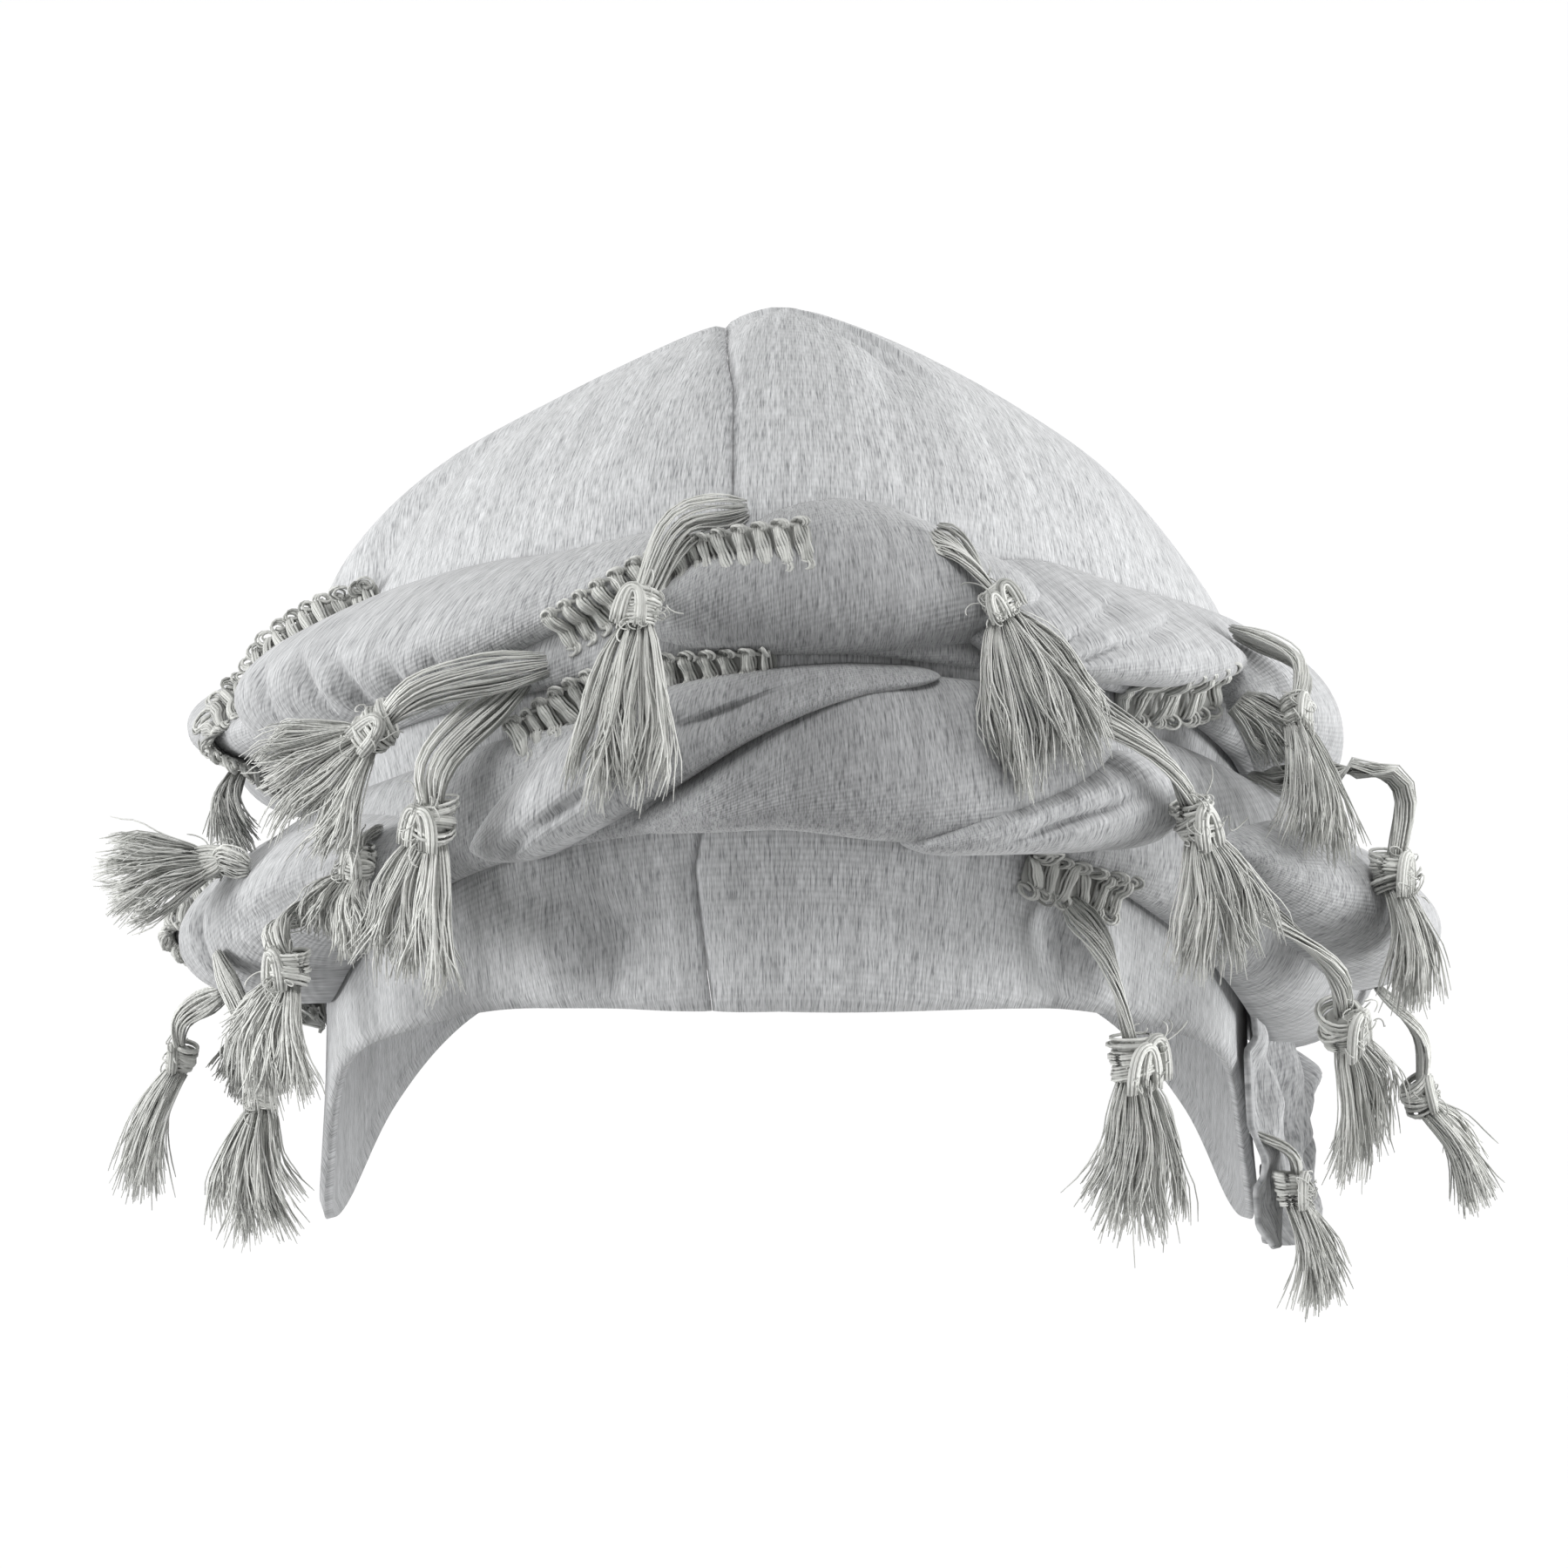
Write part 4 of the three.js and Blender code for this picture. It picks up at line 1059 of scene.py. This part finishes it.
BRAID_STATIONS = 120
BRAID_STAND = 0.0004  # the braid's middle line off the cloth
SMOOTHED = 4  # stations on each side that the middle line is averaged over
RIB_STRANDS = 7
RIB_HALF_WIDTH = 0.0012
RIB_HEIGHT = 0.0022
RIB_SKEW, RIB_SKEW_SPREAD = 0.0004, 0.0015  # how far a rib's ends lie apart along the braid
LOOP_RADIUS = 0.001
LOOP_SPREAD = 0.0004  # between the loops of one rib
CORD_HEIGHT, CORD_BEAT = 0.0006, 0.0005  # of an edge cord over the braid, and its rise and fall
TAPE_SHARE, TAPE_THICK = 0.46, 0.0004  # half width against the braid's width, half thickness
CORD_LANES = np.array(((-0.86, 0), (0.86, 0.5)))  # side of each edge cord, and the start of its beat


def braid_line(path):
    """The braid's middle line over the cloth, smoothed, with its run and its own directions."""
    rows = np.stack([path["at"], path["down"] * sizes().drop], axis=-1)
    at, down = smooth_path(rows, BRAID_STATIONS).T
    line = place(at, cap_radius(at, down) + BRAID_STAND, down)
    kernel = np.ones(2 * SMOOTHED + 1) / (2 * SMOOTHED + 1)
    padded = np.concatenate([
        np.repeat(line[:1], SMOOTHED, 0), line, np.repeat(line[-1:], SMOOTHED, 0)])
    line = np.stack([np.convolve(padded[:, i], kernel, "valid") for i in range(3)], axis=-1)
    run = np.concatenate([[0], np.cumsum(np.linalg.norm(np.diff(line, axis=0), axis=1))])
    along = unit(np.gradient(line, axis=0))
    across = unit(np.cross(along, unit(line * (1, 1, 0.35))))
    return line, run, across, np.cross(across, along)


def braid_bundles(path, uneven, wide, seed):
    """Ribs, edge loops, edge cords and the tape of a stretch of braid."""
    rng = np.random.default_rng(seed)
    line, run, across, out = braid_line(path)
    width, strand = sizes().braid_width * wide, sizes().strand_radius
    ribs = max(3, int(run[-1] / sizes().rib_pitch))
    pitch = run[-1] / ribs

    def spots(distance, side, height):
        """Points by their run along the braid, their side (-1 to 1) and their height over it."""
        distance, side, height = np.broadcast_arrays(distance, side, height)

        def along_run(values):
            return np.stack([np.interp(distance, run, values[:, i]) for i in range(3)], axis=-1)

        flat = along_run(line) + along_run(across) * (side * width / 2)[..., None]
        seat = clear_of_cap(flat, THREAD_STAND)
        return flat + 0.6 * (seat - flat) + along_run(out) * height[..., None]

    rib = np.arange(ribs)[:, None, None]
    middle = (rib + 0.5) * pitch
    slot = np.linspace(-1, 1, RIB_STRANDS)[None, :, None]
    side = np.linspace(-1, 1, 13)[None, None, :]

    def vary(low, high):
        return uneven * rng.uniform(low, high, (ribs, 1, 1))

    arch = np.sqrt(np.clip(1 - np.abs(side) ** 3.2, 0, 1))
    size, tall = 1 + vary(-0.3, 0.2), RIB_HEIGHT * (1 + vary(-0.35, 0.7))
    skew = RIB_SKEW + vary(-1, 1) * RIB_SKEW_SPREAD
    bundle = np.sqrt(1 - 0.8 * slot ** 2)
    distance = middle + slot * RIB_HALF_WIDTH * (0.75 + 0.25 * arch) + skew * side
    distance = distance + 0.00012 * np.sin(5 * side + 3 * slot + rib)
    height = tall * arch * bundle - 0.0003
    ribs_paths = spots(distance, side * size, height).reshape(-1, side.size, 3)

    turn = np.linspace(0, 2.1 * np.pi, 13)[None, None, :] + rng.uniform(0, 6, (ribs, 6, 1))
    reach = LOOP_RADIUS * (1 + uneven * rng.uniform(-0.2, 0.8, (ribs, 6, 1)))
    edge = np.array((-1, -1, -1, 1, 1, 1))[None, :, None]
    twin = (LOOP_SPREAD * np.array((-1, 0, 1, -1, 0, 1)))[None, :, None]
    loops = spots(
        middle + twin + 0.95 * reach * np.sin(turn),
        edge * (0.93 + 1.7 * reach / width * np.cos(turn)),
        LOOP_RADIUS + 0.7 * reach * np.sin(turn + 0.6)).reshape(-1, turn.shape[-1], 3)

    distance = np.linspace(0, run[-1], ribs * 10)[None, :]
    lane, phase = CORD_LANES.T[:, :, None]
    beat = 2 * np.pi * (distance / pitch + phase)
    cords = spots(distance, lane + 0.08 * np.sin(beat), CORD_HEIGHT + CORD_BEAT * np.cos(beat))
    tape = spots(np.linspace(0, run[-1], ribs * 4), 0.0, 0.0)[None]
    return [
        thread_arrays(ribs_paths, strand * 0.85, sides=5, seed=seed),
        thread_arrays(loops, strand * 0.9, seed=seed + 1),
        thread_arrays(cords, strand * 1.2, sides=5, seed=seed + 2),
        # painted shade: the tape is given the lowest thread tone, so the gaps between the ribs read dark
        thread_arrays(tape, width * TAPE_SHARE, TAPE_THICK, sides=10, shade=0),
    ]


def fray_bundle(fray, seed):
    """Threads that hang loose from a frayed end."""
    end_at, end_down, tip_at, tip_down, spread = fray
    ends = [clear_point(end_at, end_down, 0.3, 0.002), clear_point(tip_at, tip_down, 0.6, 0.002)]
    paths = tail_paths({"spread": spread}, *ends, np.random.default_rng(seed))
    return thread_arrays(paths, sizes().thread_radius, sides=3, seed=seed)


class CAP_OT_braid(Operator):
    """Builds the ribbed braid along the scarf's edges"""

    bl_idname = "turban_cap.braid"
    bl_label = "Braid"

    def execute(self, context):
        for number, (name, (path, uneven, wide)) in enumerate(BRAIDS.items()):
            bundles = braid_bundles(path, uneven, wide, 100 + 10 * number)
            if name in FRAYS:
                bundles.append(fray_bundle(FRAYS[name], 200 + number))
            mesh = threads_mesh(name, bundles)
            braid = new_object(name.replace("braid", "gimp"), mesh)
            settle(braid, braid_material(), "braid", name)
        return {"FINISHED"}


# Tassels

STEM_STRANDS, STEM_POINTS = 64, 13
WINDINGS, WINDING_STRANDS = 3, 6  # round the knot
WINDING_RADIUS, WINDING_RISE = 0.70, 0.42  # of a winding, and from one to the next, by knot radius
WINDING_STEP = 0.0005  # from one strand of a winding to the next
BIGHTS, BIGHT_STRANDS = 2, 8  # over its front
BIGHT_THICK = 0.0007  # half thickness of a bight's bundle
CURLS, CURL_POINTS = 16, 14
CURL_SIZES = (0.0006, 0.0014)
CURL_TURNS = (3, 7)  # in radians from end to end
TAIL_LOCKS, TAIL_POINTS = 17, 9
LOCK_LENGTHS = (0.84, 1.1)  # of the shortest and longest lock, as shares of the tail's length
LOCK_BOW = 0.07  # how far a lock bows aside, as a share of the tail's length
LOCK_WAVE, THREAD_WAVE = 0.0010, 0.0003  # in metres
STRAYS, STRAY_REACH = 0.07, 0.0045  # share of threads that leave their lock, and how far they go
KNOT_EXIT = 0.0022  # half width of the tail where it leaves the knot
TAIL_THICK, TIP_THICK = 0.0016, 0.0008  # half thickness at the knot, and what the tip adds
TAIL_SWELL = 0.0018  # how far the middle of a tail stands out
TAIL_LAYER = 0.0016  # how far the threads at the tip lie over each other
STEM_STAND = 0.0009  # a stem's middle line off the cloth
STEM_FLATNESS = 0.3  # thickness of a stem against its width
# Half width of a stem along it, as a share of its listed one.
STEM_WIDTH = table("share half", [(0, 0.5), (0.2, 1), (0.6, 0.95), (0.9, 0.6), (1, 0.45)])


def stem_paths(row, root, bend, knot, rng):
    """Threads of a tassel's stem, combed flat side by side with a slow twist."""
    line = smooth_path([root, bend, knot], STEM_POINTS)
    line[2:] = clear_of_cap(line[2:], STEM_STAND)
    _, across, proud = directions(line)
    share = np.linspace(0, 1, STEM_POINTS)
    half = row["stem"] * np.interp(share, STEM_WIDTH["share"], STEM_WIDTH["half"])
    a, b = rng.uniform(-1, 1, (2, STEM_STRANDS, 1))
    turn = 2 * np.pi * row["turns"] * share + 0.12 * np.sin(5 * share + 6 * b)
    x = a * np.cos(turn) - STEM_FLATNESS * b * np.sin(turn)
    y = a * np.sin(turn) * 0.5 + STEM_FLATNESS * b * np.cos(turn)
    wave = 0.0002 * np.sin(9 * share + 20 * a)
    strands = line + across * (half * x + wave)[..., None] + proud * (half * y + 0.0006)[..., None]
    strands[:, 1:] = clear_of_cap(strands[:, 1:], THREAD_STAND)
    return strands


def knot_paths(radius, knot, axis, out, rng):
    """Bundles of strands wound round the knot, and bights that hook over its front."""
    across = unit(np.cross(axis, out))
    out = unit(np.cross(across, axis))
    turn = np.linspace(0, 2.15 * np.pi, 18)
    share = np.linspace(-1, 1, 18)
    x, y, z = [], [], []
    for winding in range(WINDINGS):
        tilt, lean = rng.uniform(-0.6, 0.6), rng.uniform(-0.5, 0.5)
        phase = rng.uniform(0, 2 * np.pi)
        for strand in range(WINDING_STRANDS):
            uneven = 0.05 * rng.uniform(-1, 1)
            ring = radius * (WINDING_RADIUS + uneven + 0.05 * (2 - abs(strand - 2)))
            height = (winding - 1.3) * WINDING_RISE * radius + (strand - 2) * WINDING_STEP
            height = height + 0.0003 * rng.uniform(-1, 1)
            x.append(ring * np.cos(turn + phase))
            y.append(ring * np.sin(turn + phase))
            z.append(height + tilt * y[-1] * 0.6 + lean * x[-1] * 0.5)
    for _ in range(BIGHTS):
        centre, half = rng.uniform(-0.45, 0.45) * radius, rng.uniform(0.3, 0.45) * radius
        top = rng.uniform(-0.75, -0.3) * radius
        for strand in range(BIGHT_STRANDS):
            spin = 2 * np.pi * strand / BIGHT_STRANDS
            wide = half + BIGHT_THICK * np.cos(spin)
            x.append(centre + wide * np.sin(np.pi / 2 * share) * (1 + 0.25 * np.abs(share)))
            y.append(radius * (0.8 - 0.25 * share ** 2) + BIGHT_THICK * np.sin(spin))
            fall = top + 1.5 * radius * np.abs(share) ** 2.4
            z.append(fall - BIGHT_THICK * np.cos(spin) * (1 - share ** 2))
    x, y, z = (np.array(values)[..., None] for values in (x, y, z))
    return knot + across * x + out * y + axis * z


def curl_paths(radius, knot, axis, out, rng):
    """Small frayed curls round the knot, and a few longer loose threads."""
    across = unit(np.cross(axis, out))
    share = np.linspace(0, 1, CURL_POINTS)
    heading = rng.uniform(0, 2 * np.pi, (CURLS, 1))
    size = rng.uniform(*CURL_SIZES, (CURLS, 1))
    turn = rng.uniform(*CURL_TURNS, (CURLS, 1)) * share + rng.uniform(0, 6, (CURLS, 1))
    reach = radius * rng.uniform(0.5, 1.05, (CURLS, 1))
    loose = np.arange(CURLS)[:, None] % 4 == 0
    long = np.where(loose, rng.uniform(0.6, 1.5, (CURLS, 1)) * radius, 0)
    x = (reach + long * share) * np.cos(heading) + size * np.cos(turn)
    z = (reach + long * share) * np.sin(heading) + size * np.sin(turn)
    y = radius * np.sqrt(np.clip(1.1 - (reach / radius) ** 2, 0.05, 1))
    y = y + size * np.sin(turn + heading)
    paths = knot + across * x[..., None] + out * y[..., None] + axis * z[..., None]
    return clear_of_cap(paths, THREAD_STAND)


def tail_paths(row, knot, tip, rng):
    """Threads of a tassel's tail: a fan from the knot, combed into uneven locks."""
    spread = row["spread"] * sizes().tail_spread
    count = int(sizes().tail_threads * (0.45 + 0.45 * row["spread"]))
    length = np.linalg.norm(tip - knot)
    fall = unit(tip - knot)
    across = unit(np.cross(fall, unit(knot * (1, 1, 0))))
    proud = unit(np.cross(across, fall))
    share = np.linspace(0, 1, TAIL_POINTS)
    widest = math.asin(min(0.9, spread / length))

    of_lock = rng.integers(TAIL_LOCKS, size=count)

    def by_lock(low, high):
        return rng.uniform(low, high, TAIL_LOCKS)[of_lock][:, None]

    def by_thread(deviation):
        return rng.normal(0, deviation, (count, 1))

    side = np.linspace(-1, 1, TAIL_LOCKS)[of_lock][:, None] + by_lock(-0.1, 0.1) + by_thread(0.075)
    angle = widest * side
    reach = length * (by_lock(*LOCK_LENGTHS) + by_thread(0.05)) * (1 - 0.06 * side ** 2)
    bow = LOCK_BOW * length * by_lock(-1, 1) * np.sin(np.pi * share)
    wave = LOCK_WAVE * np.sin(7 * share + by_lock(0, 6.3))
    wave = wave + THREAD_WAVE * np.sin(15 * share + 30 * side)
    astray = rng.random((count, 1)) < STRAYS
    stray = np.where(astray, rng.uniform(-1, 1, (count, 1)) * STRAY_REACH, 0)
    x = side * KNOT_EXIT * (1 - share) + reach * np.sin(angle) * share ** 0.85
    x = x + bow + wave * share + stray * share ** 2
    z = 0.5 * sizes().knot_radius * (1 - share) + reach * np.cos(angle) * share
    thick = TAIL_THICK + TIP_THICK * share
    y = thick * by_lock(-1, 1) * (0.4 + 0.6 * share) + 0.0012 * rng.uniform(-1, 1, (count, 1))
    y = y + TAIL_SWELL * np.sin(np.pi * share) + 0.0015 * by_thread(1) * share ** 2
    paths = knot + across * x[..., None] + fall * z[..., None] + proud * y[..., None]
    layer = THREAD_STAND + TAIL_LAYER * rng.random((count, 1)) * share
    paths[:, 2:] = clear_of_cap(paths[:, 2:], layer[:, 2:])
    return paths


def tassel_bundles(row, seed):
    """Stem, knot, tail and curls of one tassel."""
    rng = np.random.default_rng(seed)
    radius = sizes().knot_radius * row["size"]
    strand, thread = sizes().strand_radius, sizes().thread_radius
    root = clear_point(row["root_at"], row["root_down"], 0, THREAD_STAND)
    bend = clear_point(row["bend_at"], row["bend_down"], row["lift"], 0.0018)
    knot = clear_point(row["knot_at"], row["knot_down"], row["lift"], 0.9 * radius)
    tip = clear_point(row["tip_at"], row["tip_down"], row["flare"], 0.003)
    axis = unit(0.7 * unit(tip - knot) + 0.3 * unit(knot - bend))
    out = unit(knot * (1, 1, 0))
    core = (knot + axis * np.linspace(-1, 1, 9)[:, None] * radius * 0.7)[None]
    return [
        thread_arrays(stem_paths(row, root, bend, knot, rng), thread * 1.2, sides=3, seed=seed),
        thread_arrays(core, radius * 0.5, sides=10, shade=0.2),
        thread_arrays(knot_paths(radius, knot, axis, out, rng), strand, sides=4, seed=seed + 1),
        thread_arrays(tail_paths(row, knot, tip, rng), thread, sides=3, seed=seed + 2),
        thread_arrays(curl_paths(radius, knot, axis, out, rng), thread, sides=3, seed=seed + 3),
    ]


class CAP_OT_tassels(Operator):
    """Builds the knotted thread tassels"""

    bl_idname = "turban_cap.tassels"
    bl_label = "Tassels"

    def execute(self, context):
        for i in range(len(TASSELS["root_at"])):
            row = {column: float(values[i]) for column, values in TASSELS.items()}
            mesh = threads_mesh(f"fringe_{i + 1:02d}", tassel_bundles(row, 500 + 10 * i))
            tassel = new_object(mesh.name, mesh)
            settle(tassel, tassel_material(), "thread", f"tassel_{i + 1:02d}")
        return {"FINISHED"}


# Stage

CAMERA_DISTANCE = 1.35
CAMERA_ELEVATION = 7
CAMERA_TARGET = (-0.0008, 0.0, -0.088)
CAMERA_LENS = 163.6
FLOOR_Z = -3
FLOOR_RADIUS = 400
FLOOR_ROUGHNESS = 0.9
MAT_EDGE = (9.4, 11.4)  # radius at which the floor's grey middle starts to fade, and at which it ends
SKY, SKY_BACK, SKY_SIDE = 0.26, 0.16, 0.56  # level over the cap, and what the back and sides add
SUN = 1.95
SUN_FROM = (0.08, -0.45, 1.0)
SUN_ANGLE = 30
SIDE_LIGHTS = ((-1.3, -0.2, -0.2), (1.3, -0.2, -0.2))
SIDE_POWER = 16
SIDE_SIZE = 0.7
SIDE_TARGET = (0, 0, -0.09)


def aim(obj, location, target):
    obj.location = location
    heading = Vector(target) - Vector(location)
    obj.rotation_euler = heading.to_track_quat("-Z", "Y").to_euler()


def make_floor():
    """A wide pale floor, grey in the middle under the cap."""
    bm = bmesh.new()
    bmesh.ops.create_circle(bm, cap_ends=True, segments=96, radius=FLOOR_RADIUS)
    bmesh.ops.translate(bm, verts=bm.verts, vec=(0, 0, FLOOR_Z))
    floor = new_object("floor", to_mesh("floor", [bm]))
    material, nodes, links, shader = new_material("pale floor")
    coordinates = nodes.new("ShaderNodeTexCoord")
    flat = nodes.new("ShaderNodeVectorMath")
    flat.operation = "MULTIPLY"
    flat.inputs[1].default_value = (1, 1, 0)
    links.new(coordinates.outputs["Object"], flat.inputs[0])
    distance = nodes.new("ShaderNodeVectorMath")
    distance.operation = "LENGTH"
    links.new(flat.outputs["Vector"], distance.inputs[0])
    share = math_node(nodes, links, "DIVIDE", distance.outputs["Value"], 2 * MAT_EDGE[1])
    colour = ramp(
        nodes, links, share, (MAT_EDGE[0] / MAT_EDGE[1] / 2, tuple(colours().mat)),
        (0.5, tuple(colours().floor)))
    links.new(colour, shader.inputs["Base Color"])
    shader.inputs["Roughness"].default_value = FLOOR_ROUGHNESS
    floor.data.materials.append(material)


def make_world():
    """White light from all round, stronger from the sides and from behind."""
    world = bpy.data.worlds.new("studio")
    world.use_nodes = True
    nodes, links = world.node_tree.nodes, world.node_tree.links
    heading = nodes.new("ShaderNodeSeparateXYZ")
    links.new(nodes.new("ShaderNodeTexCoord").outputs["Generated"], heading.inputs[0])
    side = math_node(nodes, links, "ABSOLUTE", heading.outputs["X"])
    level = math_node(nodes, links, "MULTIPLY_ADD", heading.outputs["Y"], SKY_BACK, SKY)
    level = math_node(nodes, links, "MULTIPLY_ADD", side, SKY_SIDE, level)
    links.new(level, nodes["Background"].inputs["Strength"])
    nodes["Background"].inputs["Color"].default_value = (1, 1, 1, 1)
    bpy.context.scene.world = world


def add_light(name, kind, energy, location, target):
    light = bpy.data.lights.new(name, kind)
    light.energy = energy
    lamp = bpy.data.objects.new(name, light)
    bpy.context.scene.collection.objects.link(lamp)
    aim(lamp, location, target)
    return light


def make_lights():
    """A soft sun from above the brow, and a round lamp on each side."""
    sun = add_light("sun", "SUN", SUN, SUN_FROM, (0, 0, 0))
    sun.angle = math.radians(SUN_ANGLE)
    for number, location in enumerate(SIDE_LIGHTS):
        light = add_light(f"side_{number + 1}", "AREA", SIDE_POWER, location, SIDE_TARGET)
        light.shape = "DISK"
        light.size = SIDE_SIZE


def make_camera():
    data = bpy.data.cameras.new("camera")
    data.lens = CAMERA_LENS
    data.sensor_width = 36
    data.clip_start = 0.05
    camera = bpy.data.objects.new("camera", data)
    bpy.context.scene.collection.objects.link(camera)
    rise = math.radians(CAMERA_ELEVATION)
    location = (
        CAMERA_TARGET[0],
        CAMERA_TARGET[1] - CAMERA_DISTANCE * math.cos(rise),
        CAMERA_TARGET[2] + CAMERA_DISTANCE * math.sin(rise))
    aim(camera, location, CAMERA_TARGET)
    bpy.context.scene.camera = camera


class CAP_OT_stage(Operator):
    """Builds the pale floor, the soft studio light and the camera"""

    bl_idname = "turban_cap.stage"
    bl_label = "Stage"

    def execute(self, context):
        make_floor()
        make_world()
        make_lights()
        make_camera()
        context.scene.view_settings.view_transform = "Standard"
        return {"FINISHED"}


class CAP_PT_panel(Panel):
    bl_label = "Turban cap"
    bl_space_type = "VIEW_3D"
    bl_region_type = "UI"
    bl_category = "Turban cap"

    def draw(self, context):
        for name in CapSizes.__annotations__:
            self.layout.prop(context.scene.cap_sizes, name)
        for name in CapColours.__annotations__:
            self.layout.prop(context.scene.cap_colours, name)
        for operator in OPERATORS:
            self.layout.operator(operator.bl_idname)


OPERATORS = (
    CAP_OT_stage, CAP_OT_crown, CAP_OT_scarf, CAP_OT_scarf_end, CAP_OT_braid, CAP_OT_tassels)
CLASSES = (CapSizes, CapColours, *OPERATORS, CAP_PT_panel)


def register():
    for item in CLASSES:
        bpy.utils.register_class(item)
    bpy.types.Scene.cap_sizes = PointerProperty(type=CapSizes)
    bpy.types.Scene.cap_colours = PointerProperty(type=CapColours)


def unregister():
    del bpy.types.Scene.cap_sizes
    del bpy.types.Scene.cap_colours
    for item in reversed(CLASSES):
        bpy.utils.unregister_class(item)


def main():
    register()
    TURNS["upper_turn"] = with_twists(UPPER_FOLDS)
    TURNS["lower_turn"] = with_twists(LOWER_FOLDS)
    for operator in OPERATORS:
        group, name = operator.bl_idname.split(".")
        getattr(getattr(bpy.ops, group), name)()


if __name__ == "__main__":
    main()
